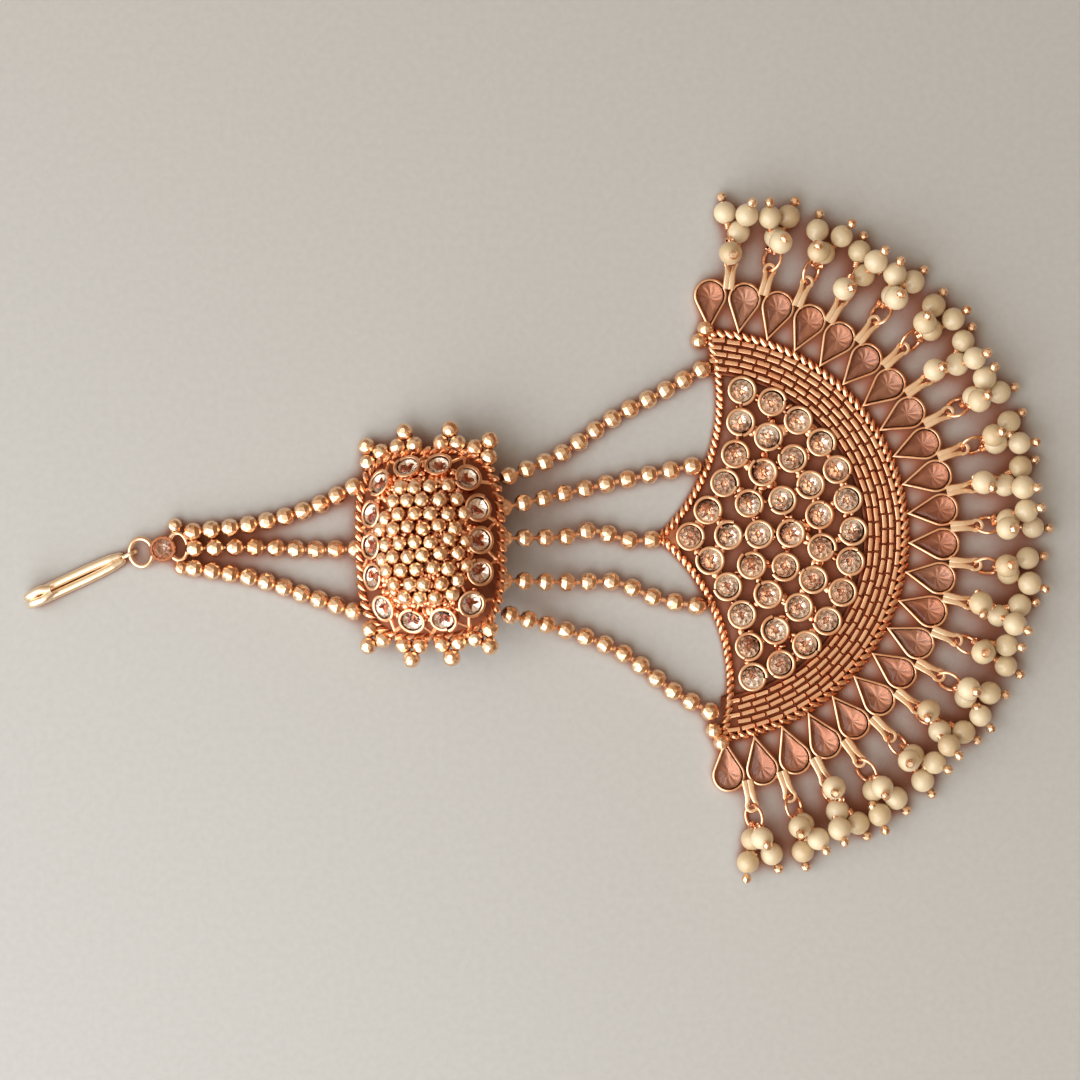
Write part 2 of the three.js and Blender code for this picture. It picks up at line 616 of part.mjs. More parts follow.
function piece(name, geometry, finish) {
  const mesh = new THREE.Mesh(geometry, new THREE.MeshStandardMaterial(finish));
  mesh.name = name;
  return mesh;
}

const numbered = (name, index) => `${name}_${String(index + 1).padStart(2, "0")}`;

function fanGroup() {
  const group = new THREE.Group();
  group.rotation.z = radians(FAN_TURN);
  group.add(piece("fan", fan(), GOLD));
  for (let i = 0; i < TEAR_COUNT - 1; i += 1) {
    const cluster = piece(numbered("pearl_cluster", i), pearlCluster(i), PEARL);
    cluster.rotation.z = radians((i + 0.5) * TEAR_PITCH - TEAR_REACH);
    group.add(cluster);
  }
  return group;
}

function plaqueGroup() {
  const group = new THREE.Group();
  group.rotation.set(radians(PLAQUE.tiltAlong), radians(PLAQUE.tiltAcross),
    radians(PLAQUE.turn));
  group.add(piece("plaque", geometryOf(plaque()), GOLD));
  plaqueStonePlaces().forEach((place, i) => {
    group.add(piece(numbered("plaque_stone", i), geometryOf(plaqueStone(place)), CRYSTAL));
  });
  group.position.set(PLAQUE.x, PLAQUE.y, 0);
  group.updateMatrixWorld(true);
  group.position.z = -new THREE.Box3().setFromObject(group, true).min.z;
  return group;
}

function linkGroup() {
  const group = new THREE.Group();
  group.position.set(LINK.x, LINK.y, 0);
  group.rotation.z = radians(LINK.turn);
  group.add(piece("stone_link", stoneLink(), GOLD));
  const crown = looseStone(LINK_POCKET - GAP, POCKET_DEPTH - GAP + CROWN_RISE);
  const stone = piece("link_stone", crown, CRYSTAL);
  stone.position.z = LINK_SETTING_HEIGHT - POCKET_DEPTH + GAP;
  group.add(stone);
  const hook = piece("hair_hook", hairHook(), PALE_GOLD);
  hook.position.x = HOOK_LOOP_PLACE - HOOK_LOOP.across;
  hook.rotation.z = radians(HOOK_TURN - LINK.turn);
  group.add(hook);
  return group;
}

const jhoomar = new THREE.Group();
jhoomar.add(fanGroup(), plaqueGroup(), linkGroup());
for (const [name, points] of Object.entries(STRING_ROUTES)) {
  jhoomar.add(piece(name, beadString(points), GOLD));
}

// The origin is the middle of the underside of the whole jewel's box
jhoomar.updateMatrixWorld(true);
const bounds = new THREE.Box3().setFromObject(jhoomar, true);
const middle = bounds.getCenter(new THREE.Vector3());
jhoomar.position.set(-middle.x, -middle.y, -bounds.min.z);

export default jhoomar;
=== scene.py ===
# %% [markdown]
# # A jhoomar in rose gold, lying on paper
# The real object is a jewel worn at the side of the head: a hair hook, a small stone link,
# three strings of cut beads, a domed plaque, five more strings, and a fan of stones whose rim
# carries teardrop stones, strap bails, jump rings and pearls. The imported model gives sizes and
# places. This lesson lays the fine goldsmith's work over it, piece by piece.

# %% Load the frame
from functools import partial

import bpy
import numpy as np
from mathutils import Matrix


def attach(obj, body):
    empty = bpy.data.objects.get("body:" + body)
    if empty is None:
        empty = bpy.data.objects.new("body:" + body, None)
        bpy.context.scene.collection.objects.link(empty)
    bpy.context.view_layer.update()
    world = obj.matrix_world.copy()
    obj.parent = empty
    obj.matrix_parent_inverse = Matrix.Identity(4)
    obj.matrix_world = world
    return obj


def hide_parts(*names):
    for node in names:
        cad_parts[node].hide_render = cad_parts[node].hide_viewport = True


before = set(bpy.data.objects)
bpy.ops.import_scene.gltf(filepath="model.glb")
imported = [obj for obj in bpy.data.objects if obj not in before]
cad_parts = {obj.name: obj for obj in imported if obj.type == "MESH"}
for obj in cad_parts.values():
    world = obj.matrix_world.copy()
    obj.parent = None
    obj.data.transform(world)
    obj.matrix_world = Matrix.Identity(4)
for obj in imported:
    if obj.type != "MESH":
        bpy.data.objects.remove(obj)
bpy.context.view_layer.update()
nodes = sorted(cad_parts)

# %% [markdown]
# ## Working units
# A goldsmith measures in millimetres from the middle of the fan, and Blender wants metres from
# the middle of the whole jewel. All shapes are worked out in millimetres and moved once, at the
# very end, when a mesh is written. One seeded source of chance keeps every run the same.

# %% Units and chance
MM = 0.001
FAN_MIDDLE = np.array([27.281, -0.387, 0.0])  # in the frame, mm
FAN_TURN = 2.2  # degrees
chance = np.random.default_rng(7)


def spread(size, amount):
    """Random numbers, evenly spread from -amount to amount."""
    return chance.uniform(-amount, amount, size)


# %% [markdown]
# ## Shapes as arrays
# Every piece here is a surface on a grid: rows along a path or up a profile, columns round it.
# A shape is kept as its points, its four-cornered and three-cornered faces, and a tone for each
# point, so a hundred copies are one broadcast sum and no loop over vertices.

# %% A shape and its copies
class Shape:
    """Points (n, 3) in mm, quads (m, 4), triangles (k, 3), and one tone per point."""

    def __init__(self, points, quads=(), triangles=(), tone=None):
        self.points = np.asarray(points, float).reshape(-1, 3)
        self.quads = np.asarray(quads, int).reshape(-1, 4)
        self.triangles = np.asarray(triangles, int).reshape(-1, 3)
        self.tone = np.full(len(self.points), 0.5) if tone is None else np.asarray(tone, float)


def together(shapes):
    """One shape from several: their points in a row, and each one's faces counted on."""
    starts = np.cumsum([0] + [len(shape.points) for shape in shapes[:-1]])
    return Shape(
        np.concatenate([shape.points for shape in shapes]),
        np.concatenate([shape.quads + start for shape, start in zip(shapes, starts)]),
        np.concatenate([shape.triangles + start for shape, start in zip(shapes, starts)]),
        np.concatenate([shape.tone for shape in shapes]),
    )


def copies(shape, places):
    """A copy of the shape for each 4 by 4 matrix: point times matrix. Each copy has one tone."""
    places = np.asarray(places, float).reshape(-1, 4, 4)
    count, size = len(places), len(shape.points)
    points = np.einsum("kij,nj->kni", places[:, :3, :3], shape.points) + places[:, None, :3, 3]
    starts = (np.arange(count) * size)[:, None, None]
    return Shape(
        points,
        shape.quads + starts,
        shape.triangles + starts,
        np.repeat(chance.random(count), size),
    )


def grid(rows, columns, round_rows=False):
    """Quads between neighbours of a grid of points, stored row by row, each row a ring."""
    row, column = np.meshgrid(np.arange(rows - (not round_rows)), np.arange(columns), indexing="ij")
    below, beside = (row + 1) % rows, (column + 1) % columns
    corners = [row * columns + column, below * columns + column,
               below * columns + beside, row * columns + beside]
    return np.stack(corners, -1).reshape(-1, 4)


def end_caps(rows, columns):
    """Triangles from both end rows of a grid to its poles, the two points stored after it."""
    column = np.arange(columns)
    beside = (column + 1) % columns
    pole, last = rows * columns, (rows - 1) * columns
    return np.concatenate([
        np.stack([np.full(columns, pole), beside, column], -1),
        np.stack([np.full(columns, pole + 1), last + column, last + beside], -1),
    ])


def stacked(outlines, poles=None):
    """Closed solid through outlines (x, y, z) of equal count, from the lowest to the highest."""
    outlines = np.asarray(outlines, float)
    rows, columns = outlines.shape[:2]
    poles = outlines[[0, -1]].mean(1) if poles is None else poles
    return Shape(np.vstack([outlines.reshape(-1, 3), poles]), grid(rows, columns)[:, ::-1],
                 end_caps(rows, columns))


def moved(shape, matrix):
    """The shape through one matrix, tones kept."""
    matrix = np.asarray(matrix).reshape(4, 4)
    points = shape.points @ matrix[:3, :3].T + matrix[:3, 3]
    return Shape(points, shape.quads, shape.triangles, shape.tone)


# %% [markdown]
# ## Turning and placing
# A piece is drawn upright at zero and then carried to its seat by a matrix. The helpers below
# build whole stacks of matrices at once, one for each copy.

# %% Matrices
def turn(axis, degrees):
    """Rotation by an angle, or by an array of angles, about the x, y or z axis."""
    angle = np.radians(np.atleast_1d(np.asarray(degrees, float)))
    first, second = [(1, 2), (2, 0), (0, 1)]["xyz".index(axis)]
    matrix = np.tile(np.eye(4), (len(angle), 1, 1))
    matrix[:, first, first] = matrix[:, second, second] = np.cos(angle)
    matrix[:, first, second], matrix[:, second, first] = -np.sin(angle), np.sin(angle)
    return matrix


def shift(points):
    """Translation to each of the points."""
    points = np.asarray(points, float).reshape(-1, 3)
    matrix = np.tile(np.eye(4), (len(points), 1, 1))
    matrix[:, :3, 3] = points
    return matrix


def spun(places):
    """Each place turned by chance about its own z axis."""
    return places @ turn("z", chance.uniform(0, 360, len(places)))


def tilted(places, x, y):
    """Each place leaned by chance, at most so many degrees about x and about y."""
    count = len(places)
    return places @ turn("x", spread(count, x)) @ turn("y", spread(count, y))


def unit(vectors):
    return vectors / np.linalg.norm(vectors, axis=-1, keepdims=True)


def aim(starts, ends):
    """Places at the starts whose own z axis points towards the ends."""
    ahead = unit(np.asarray(ends, float) - starts)
    aside = np.cross([0.0, 0.0, 1.0], ahead)
    level = np.linalg.norm(aside, axis=1) < 1e-6
    aside[level] = [1.0, 0.0, 0.0]
    aside = unit(aside)
    matrix = shift(starts)
    matrix[:, :3, 0], matrix[:, :3, 2] = aside, ahead
    matrix[:, :3, 1] = np.cross(ahead, aside)
    return matrix


def polar(radius, degrees, height=0.0):
    """Points at a radius and an angle from the middle, at a height."""
    angle = np.radians(np.asarray(degrees, float))
    radius, angle, height = np.broadcast_arrays(radius, angle, height)
    return np.stack([radius * np.cos(angle), radius * np.sin(angle), height], -1)


fan_turn = turn("z", FAN_TURN)[0]

# %% [markdown]
# ## Lathe, wire and ball
# Three tools make nearly all the goldsmith's parts. The lathe turns a profile round an axis,
# the wire carries a section along a path, and the cut ball is a ball whose belts are turned
# half a step against each other, which gives the lozenge facets of diamond-cut beads.

# %% Lathe, wire and ball
def lathe(profile, sides):
    """Point (r cos a, r sin a, z) for each row (r, z) of the profile, from pole to pole."""
    profile = np.asarray(profile, float)
    belts = profile[1:-1]
    points = polar(belts[:, :1], np.arange(sides) * 360 / sides, belts[:, 1:])
    return stacked(points, [[0, 0, profile[0, 1]], [0, 0, profile[-1, 1]]])


def directions(path, closed):
    """The level and the upright direction across a path."""
    ahead = np.roll(path, -1, 0) - np.roll(path, 1, 0)
    if not closed:
        ahead[0], ahead[-1] = path[1] - path[0], path[-1] - path[-2]
    ahead = unit(ahead)
    aside = unit(np.cross(ahead, [0.0, 0.0, 1.0]) + [1e-9, 0, 0])
    return aside, np.cross(aside, ahead)


def sweep(path, section, closed=False, size=None):
    """Path point + aside * section x + upright * section y, times an own size for each point."""
    path, section = np.asarray(path, float), np.asarray(section, float)
    aside, upright = directions(path, closed)
    size = np.ones(len(path)) if size is None else np.asarray(size, float)
    across = section[None] * size[:, None, None]
    points = path[:, None] + aside[:, None] * across[..., :1] + upright[:, None] * across[..., 1:]
    if closed:
        return Shape(points, grid(*points.shape[:2], round_rows=True))
    body = stacked(points)
    return Shape(body.points, body.quads[:, ::-1], body.triangles[:, ::-1])


def rods(starts, ends, radius, sides=7):
    """A straight round rod from each start to its end: one unit rod, stretched."""
    seats = aim(starts, ends)
    seats[:, :3, 2] *= np.linalg.norm(ends - starts, axis=1)[:, None]
    return copies(sweep([[0, 0, 0], [0, 0, 1]], round_section(radius, sides)), seats)


def round_section(radius, sides=8, flat=1.0):
    """Corners of a circle, or of an ellipse flattened upright."""
    return polar(radius, np.arange(sides) * 360 / sides)[:, :2] * [1.0, flat]


def flat_section(width, height):
    """Corners of a strip with a flat top and bottom and rounded sides."""
    half = np.array([(1, 0.3), (0.72, 0.92), (0.6, 1), (-0.6, 1), (-0.72, 0.92), (-1, 0.3),
                     (-1, -0.3), (-0.72, -0.92), (0.72, -0.92), (1, -0.3)])
    return half * [width / 2, height / 2]


def cut_ball(radius, sides=12, latitudes=(-72, -46, -16, 16, 46, 72)):
    """Belts at the given latitudes, each turned half a step against the last, and flat poles."""
    latitude = np.radians(latitudes)
    belts = len(latitudes)
    step = np.arange(sides)
    angle = (step + 0.5 * (np.arange(belts)[:, None] % 2)) * 360 / sides
    points = polar(radius * np.cos(latitude)[:, None], angle, radius * np.sin(latitude)[:, None])
    row = np.arange(belts - 1)[:, None]
    low, beside, up = row * sides + step, row * sides + (step + 1) % sides, (row + 1) * sides
    right, left = up + (step + row % 2) % sides, up + (step + row % 2 - 1) % sides
    facets = [np.stack(corners, -1).reshape(-1, 3)
              for corners in ((low, beside, right), (low, right, left))]
    poles = [[0, 0, points[0, 0, 2]], [0, 0, points[-1, 0, 2]]]
    return Shape(np.vstack([points.reshape(-1, 3), poles]), (),
                 np.concatenate([*facets, end_caps(belts, sides)]))


def smooth_ball(radius, sides=20, belts=11):
    """A lathe profile of half a circle."""
    latitude = np.radians(np.linspace(-90, 90, belts + 2))
    return lathe(np.stack([radius * np.cos(latitude), radius * np.sin(latitude)], -1), sides)


def lengths(path):
    """Length of the path up to each of its points."""
    return np.concatenate([[0], np.cumsum(np.linalg.norm(np.diff(path, axis=0), axis=1))])


def points_at(path, distances):
    """Points of the path at these lengths along it."""
    length = lengths(path)
    return np.stack([np.interp(distances, length, column) for column in path.T], -1)


def route(points, count):
    """Centripetal Catmull-Rom curve through the points, at even steps of length."""
    points = np.asarray(points, float)
    points = np.vstack([2 * points[0] - points[1], points, 2 * points[-1] - points[-2]])
    knot = np.sqrt(np.linalg.norm(np.diff(points, axis=0), axis=1))[:, None]
    a, b, c, d = points[:-3], points[1:-2], points[2:-1], points[3:]
    before, here, after = knot[:-2], knot[1:-1], knot[2:]
    leaving = ((b - a) / before - (c - a) / (before + here) + (c - b) / here) * here
    coming = ((c - b) / here - (d - b) / (here + after) + (d - c) / after) * here
    t = np.linspace(0, 1, 40)[:, None, None]
    fine = (b * (2 * t**3 - 3 * t**2 + 1) + leaving * (t**3 - 2 * t**2 + t)
            + c * (3 * t**2 - 2 * t**3) + coming * (t**3 - t**2))
    fine = fine.transpose(1, 0, 2).reshape(-1, 3)
    return points_at(fine, np.linspace(0, lengths(fine)[-1], count))


# %% [markdown]
# ## Writing a mesh
# Blender takes whole arrays through foreach_set. The tone of each copy is written as an
# attribute that the materials read, so no two stones or pearls are quite the same colour.

# %% Write a piece
def new_object(name, data):
    thing = bpy.data.objects.new(name, data)
    bpy.context.scene.collection.objects.link(thing)
    return thing


def write_piece(name, shape, material, replaced=(), slot="rose_gold_plate", smooth_angle=40):
    """A mesh object at the origin from a shape in mm, riding on the jewel's one body."""
    mesh = bpy.data.meshes.new(name)
    sizes = np.concatenate([np.full(len(shape.quads), 4), np.full(len(shape.triangles), 3)])
    corners = np.concatenate([shape.quads.ravel(), shape.triangles.ravel()])
    mesh.vertices.add(len(shape.points))
    mesh.vertices.foreach_set("co", ((shape.points + FAN_MIDDLE) * MM).astype(np.float32).ravel())
    mesh.loops.add(len(corners))
    mesh.loops.foreach_set("vertex_index", corners.astype(np.int32))
    mesh.polygons.add(len(sizes))
    starts = np.concatenate([[0], np.cumsum(sizes)[:-1]])
    mesh.polygons.foreach_set("loop_start", starts.astype(np.int32))
    mesh.polygons.foreach_set("use_smooth", np.full(len(sizes), smooth_angle > 0))
    tone = mesh.attributes.new("tone", "FLOAT", "POINT")
    tone.data.foreach_set("value", shape.tone.astype(np.float32))
    mesh.update(calc_edges=True)
    mesh.validate()
    if smooth_angle > 0:
        mesh.set_sharp_from_angle(angle=np.radians(smooth_angle))
    mesh.materials.append(material)
    piece = new_object(name, mesh)
    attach(piece, "root")
    if replaced:
        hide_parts(*replaced)
    print(name, "has", len(sizes), "faces")


# Cut glass, foil and cut balls show every facet flat
write_cut = partial(write_piece, smooth_angle=0)


# %% [markdown]
# ## Building materials from nodes
# Every material is a small tree of nodes round one surface. Three helpers keep it readable: one
# makes a node with its values, one links a row of nodes, and one starts a material.

# %% Node helpers
def set_values(node, values):
    """Inputs by name, with _ for a space, and else the node's own settings."""
    for name, value in values.items():
        label = name.replace("_", " ")
        if label in node.inputs:
            node.inputs[label].default_value = value
        else:
            setattr(node, name, value)
    return node


def add_node(tree, kind, **values):
    return set_values(tree.nodes.new(kind), values)


def join(tree, *wires):
    """A link for each (node, output, node, input)."""
    for source, output, target, name in wires:
        tree.links.new(source.outputs[output], target.inputs[name])


def new_material(name, **values):
    """A material, its tree, and its surface with these inputs."""
    material = bpy.data.materials.new(name)
    material.use_nodes = True
    tree = material.node_tree
    return material, tree, set_values(tree.nodes["Principled BSDF"], values)


def ramp(tree, stops):
    """A colour ramp from (place, colour) stops."""
    node = tree.nodes.new("ShaderNodeValToRGB")
    for stop, (position, colour) in zip(node.color_ramp.elements, (stops[0], stops[-1])):
        stop.position, stop.color = position, (*colour, 1.0)
    for position, colour in stops[1:-1]:
        node.color_ramp.elements.new(position).color = (*colour, 1.0)
    return node


def weighted_sum(tree, first, share, second):
    """First times share, plus second: each is a node and its output's name."""
    total = add_node(tree, "ShaderNodeMath", operation="MULTIPLY_ADD")
    total.inputs[1].default_value = share
    join(tree, (*first, total, 0), (*second, total, 2))
    return total


# %% [markdown]
# ## Plated metal
# Plated brass is never even: a slow cloud of colour where the plating is thicker or rubbed,
# fine casting grain that breaks the reflections, and a brown where no cloth reaches, which is
# tarnished plating and also painted shade where walls and wires close in. All golds and foils
# use this effect, so it is a group with named sockets. It gives two masks and a normal, and the
# metal itself stays in each material.

# %% The plating group
SHADE_AND_TARNISH_REACH = 0.0014  # metres within which a wall or a wire keeps the cloth off and casts painted shade
BUMP_DISTANCE = 0.0001


def plating_group():
    group = bpy.data.node_groups.new("plating", "ShaderNodeTree")
    for name, value in (("Cloud size", 300.0), ("Grain size", 2500.0), ("Grain depth", 0.1)):
        group.interface.new_socket(
            name, in_out="INPUT", socket_type="NodeSocketFloat").default_value = value
    for name, kind in (("Cloud", "Float"), ("Lit and clean", "Float"), ("Normal", "Vector")):
        group.interface.new_socket(name, in_out="OUTPUT", socket_type="NodeSocket" + kind)
    inside = add_node(group, "NodeGroupInput")
    outside = add_node(group, "NodeGroupOutput")
    place = add_node(group, "ShaderNodeTexCoord")
    cloud = add_node(group, "ShaderNodeTexNoise", Detail=3.0, Roughness=0.6)
    grain = add_node(group, "ShaderNodeTexNoise", Detail=2.0, Roughness=0.5)
    bump = add_node(group, "ShaderNodeBump", Distance=BUMP_DISTANCE)
    occlusion_shade = add_node(group, "ShaderNodeAmbientOcclusion", Distance=SHADE_AND_TARNISH_REACH, samples=6)
    lit_and_clean = add_node(group, "ShaderNodeMapRange", interpolation_type="SMOOTHSTEP",
                      From_Min=0.08, From_Max=0.55)
    join(group, (occlusion_shade, "AO", lit_and_clean, "Value"), (lit_and_clean, "Result", outside, "Lit and clean"),
         (place, "Object", cloud, "Vector"), (place, "Object", grain, "Vector"),
         (inside, "Cloud size", cloud, "Scale"), (inside, "Grain size", grain, "Scale"),
         (inside, "Grain depth", bump, "Strength"), (grain, "Fac", bump, "Height"),
         (cloud, "Fac", outside, "Cloud"), (bump, "Normal", outside, "Normal"))
    return group


plating = plating_group()

# %% Golds and foils
# Brown for the recesses: tarnished plating, and painted shade where walls and wires shut out light
TARNISH_AND_SHADE = (0.36, 0.09, 0.035, 1.0)
TONE_SHARE = 0.25  # how far a copy's own tone moves its colour


def gold(name, deep, bright, low, high, grain_depth=0.12, tarnish_and_shade=TARNISH_AND_SHADE):
    """Polished plate between two colours, rough from low to high, tarnished and painted with shade
    where walls close in.
    """
    material, tree, surface = new_material(name, Metallic=1.0)
    effect = add_node(tree, "ShaderNodeGroup", node_tree=plating, Grain_depth=grain_depth)
    colour = ramp(tree, [(0.35, deep), (0.65, bright)])
    tone = add_node(tree, "ShaderNodeAttribute", attribute_name="tone")
    mix = weighted_sum(tree, (tone, "Fac"), TONE_SHARE, (effect, "Cloud"))
    rough = add_node(tree, "ShaderNodeMapRange", To_Min=low, To_Max=high)
    # Painted shade: where the occlusion mask finds walls close by, the colour turns to the brown
    tarnished_and_shaded = add_node(tree, "ShaderNodeMix", data_type="RGBA", A=tarnish_and_shade or (*bright, 1.0),
                    Factor=1.0)
    if tarnish_and_shade:
        join(tree, (effect, "Lit and clean", tarnished_and_shaded, "Factor"))
    join(tree, (mix, 0, colour, "Fac"), (colour, "Color", tarnished_and_shaded, "B"),
         (tarnished_and_shaded, "Result", surface, "Base Color"), (effect, "Cloud", rough, "Value"),
         (rough, "Result", surface, "Roughness"), (effect, "Normal", surface, "Normal"))
    return material


rose_gold = gold("rose_gold", (0.9, 0.41, 0.22), (0.96, 0.56, 0.34), 0.14, 0.28)
# A darker copy of the rose gold: painted shade for parts that lie low among the others
shaded_rose_gold = gold("rose_gold_painted_shade", (0.33, 0.1, 0.05), (0.5, 0.2, 0.1), 0.35, 0.5)
bright_gold = gold("bright_gold", (0.93, 0.54, 0.31), (0.96, 0.67, 0.44), 0.19, 0.32)
pale_gold = gold("pale_gold", (0.93, 0.67, 0.43), (0.97, 0.78, 0.56), 0.24, 0.36)
# Near-black brown for low parts seen through gaps: tarnished plating, and painted shade
patina_and_shade = gold("tarnished_gold_painted_shade", (0.11, 0.03, 0.018), (0.22, 0.075, 0.04), 0.42, 0.58)
foil = gold("foil", (0.76, 0.6, 0.5), (0.96, 0.9, 0.84), 0.12, 0.26, 0.02, None)
smoky_foil = gold("smoky_foil", (0.4, 0.16, 0.1), (0.54, 0.26, 0.17), 0.36, 0.54, 0.05, None)

# %% [markdown]
# ## Glass and pearl
# The stones are pale peach glass with a metal foil behind them. The foil's facets throw the
# light back through the glass, which makes the white and brown wedges of the photograph. The
# glass bends the view a little less than real glass, so that the foil shows up to the rim.
# Pearl beads are coated plastic: a soft body under a clear coat.

# %% Glass and pearl
def glass(name, colour):
    material, tree, surface = new_material(name, Roughness=0.03, IOR=1.36,
                                           Transmission_Weight=1.0)
    tone = add_node(tree, "ShaderNodeAttribute", attribute_name="tone")
    shade = ramp(tree, [(0.0, colour), (1.0, (1.0, 0.97, 0.94))])
    join(tree, (tone, "Fac", shade, "Fac"), (shade, "Color", surface, "Base Color"))
    return material


def pearl_coat():
    material, tree, surface = new_material("pearl_coat", Roughness=0.32, Coat_Weight=0.5,
                                           Coat_Roughness=0.12)
    tone = add_node(tree, "ShaderNodeAttribute", attribute_name="tone")
    shade = ramp(tree, [(0.1, (0.58, 0.41, 0.23)), (0.6, (0.68, 0.53, 0.32)),
                        (1.0, (0.76, 0.62, 0.41))])
    place = add_node(tree, "ShaderNodeTexCoord")
    cloud = add_node(tree, "ShaderNodeTexNoise", Scale=500.0, Detail=2.0)
    mix = weighted_sum(tree, (cloud, "Fac"), 0.5, (tone, "Fac"))
    join(tree, (place, "Object", cloud, "Vector"), (mix, 0, shade, "Fac"),
         (shade, "Color", surface, "Base Color"))
    return material


champagne = glass("champagne_glass", (1.0, 0.89, 0.81))
pearl = pearl_coat()

# %% [markdown]
# ## Stones of the fan
# Thirty-nine round stones stand in five arcs and one at the cusp. Each bezel is a strip of
# metal bent into a ring, and the strip's two ends don't quite meet: they pass each other a
# little, which is a spiral, so the seam shows as it does on the real ones.

# %% Places of the fan's stones
BEZEL_RADIUS = 2.35
BEZEL_WALL = 0.52
BEZEL_HEIGHT = 2.25
SEAMS = (0.06, 0.22, 0.36)
ROW_PITCH = 5.02
FIRST_ROW_SHARE = 0.837
APEX_SHARE = -0.387
ROWS = [(75, 2), (65, 4), (66, 6), (69.3, 9), (72.5, 12)]  # half angle, steps


def fan_stone_places():
    """The cusp's stone, then each arc's stones: radius = pitch * (share + row)."""
    places = [[[APEX_SHARE * ROW_PITCH, 0, 0]]]
    for row, (reach, steps) in enumerate(ROWS):
        radius = ROW_PITCH * (FIRST_ROW_SHARE + row)
        places.append(polar(radius, np.linspace(-reach, reach, steps + 1)))
    return np.concatenate(places)


stone_places = fan_stone_places()
stone_places[1:, :2] += spread((len(stone_places) - 1, 2), 0.12)
print(len(stone_places), "round stones in the fan")

# %% Bezels
def bezel(radius, height, low, seam):
    """A spiral strip: radius grows by the seam from one end to the other, over 356 degrees."""
    share = np.linspace(0, 1, 33)
    half = BEZEL_WALL / 2
    path = polar(radius - half + seam * (share - 0.5), share * -356)
    shoulder = height - 0.1
    return sweep(path, [(-half, low), (half, low), (half, shoulder), (half - 0.12, height),
                        (0.12 - half, height), (-half, shoulder)])


def bezels(places, radius=BEZEL_RADIUS, height=BEZEL_HEIGHT, low=0.55):
    """Three kinds of seam, each set on a third of the places and turned by chance."""
    kinds = []
    for kind, seam in enumerate(SEAMS):
        seats = spun(places[kind::len(SEAMS)])
        kinds.append(copies(bezel(radius, height, low, seam), seats))
    return together(kinds)


fan_seats = fan_turn @ shift(stone_places)
write_piece("fan_bezels", bezels(fan_seats), rose_gold, ["fan"])

# %% Cut stones
def brilliant(radius, girdle, table, culet):
    """A round cut: eight-sided table, eight star facets, eight kites, sixteen halves below
    them, a low girdle, and sixteen facets that run down to the culet."""
    k, m = np.arange(8), np.arange(16)
    points = np.concatenate([
        polar(radius * 0.56, k * 45, table),
        polar(radius * 0.8, k * 45 + 22.5, girdle + (table - girdle) * 0.55),
        polar(radius, m * 22.5, girdle), polar(radius, m * 22.5, girdle - 0.12),
        [[0, 0, table], [0, 0, culet]],
    ])
    # Points: table from 0, stars from 8, girdle from 16, below it from 32, then the two middles
    star, edge, after = 8 + k, 16 + 2 * k, (m + 1) % 16
    next_one, last_star, next_edge = (k + 1) % 8, 8 + (k - 1) % 8, 16 + (2 * k + 2) % 16
    kites = np.stack([k, last_star, edge, star], -1)
    belt = np.stack([16 + m, 32 + m, 32 + after, 16 + after], -1)
    triangles = [np.stack(corners, -1) for corners in (
        (np.full(8, 48), k, next_one), (k, star, next_one), (star, edge, edge + 1),
        (star, edge + 1, next_edge), (32 + m, np.full(16, 49), 32 + after))]
    return Shape(points, np.concatenate([kites, belt]), np.concatenate(triangles))


def foil_cup(radius, rim, culet, floor):
    """A sixteen-sided funnel with every other edge sunk, closed by an outer wall and a floor."""
    m = np.arange(16)
    n, culet_at, floor_at = (m + 1) % 16, np.full(16, 48), np.full(16, 49)
    angle = m * 22.5 + 11.25
    points = np.concatenate([
        polar(radius, angle, rim),
        polar(radius * 0.5, angle, (rim + culet) / 2 - np.where(m % 2, 0.07, 0)),
        polar(radius, angle, floor), [[0, 0, culet], [0, 0, floor]],
    ])
    quads = [np.stack([m, n, 16 + n, 16 + m], -1), np.stack([n, m, 32 + m, 32 + n], -1)]
    triangles = [np.stack([16 + m, 16 + n, culet_at], -1), np.stack([32 + n, 32 + m, floor_at], -1)]
    return Shape(points, np.concatenate(quads), np.concatenate(triangles))


STONE_RADIUS = BEZEL_RADIUS - BEZEL_WALL - 0.09
STONE_TILT = 7  # degrees, either way
seats = tilted(spun(fan_seats), STONE_TILT, STONE_TILT)
write_cut("fan_stones", copies(brilliant(STONE_RADIUS, 1.45, 1.95, 0.6), seats), champagne,
          slot="champagne_stone")
write_cut("fan_foils", copies(foil_cup(STONE_RADIUS, 1.3, 0.5, 0.35), seats), foil)

# %% [markdown]
# ## The fan's lattice
# Thin wires run behind the bezels and solder has run into the gaps where two of them nearly
# touch. Both are found from the places themselves: every two stones closer than a limit get a
# short rod low down and a few drops between their rims. Drops under a stone are left out.

# %% Rods and solder
NEIGHBOUR_REACH = 5.9
ROD_RADIUS = 0.4
ROD_LIFT = 0.42
DROPS_PER_ROD = 5
DROP_RADIUS = 0.5


def near_pairs(places, limit):
    """Indices of all pairs of places that are nearer to each other than the limit."""
    apart = np.linalg.norm(places[:, None] - places[None], axis=-1)
    return np.nonzero(np.triu(apart < limit, 1))


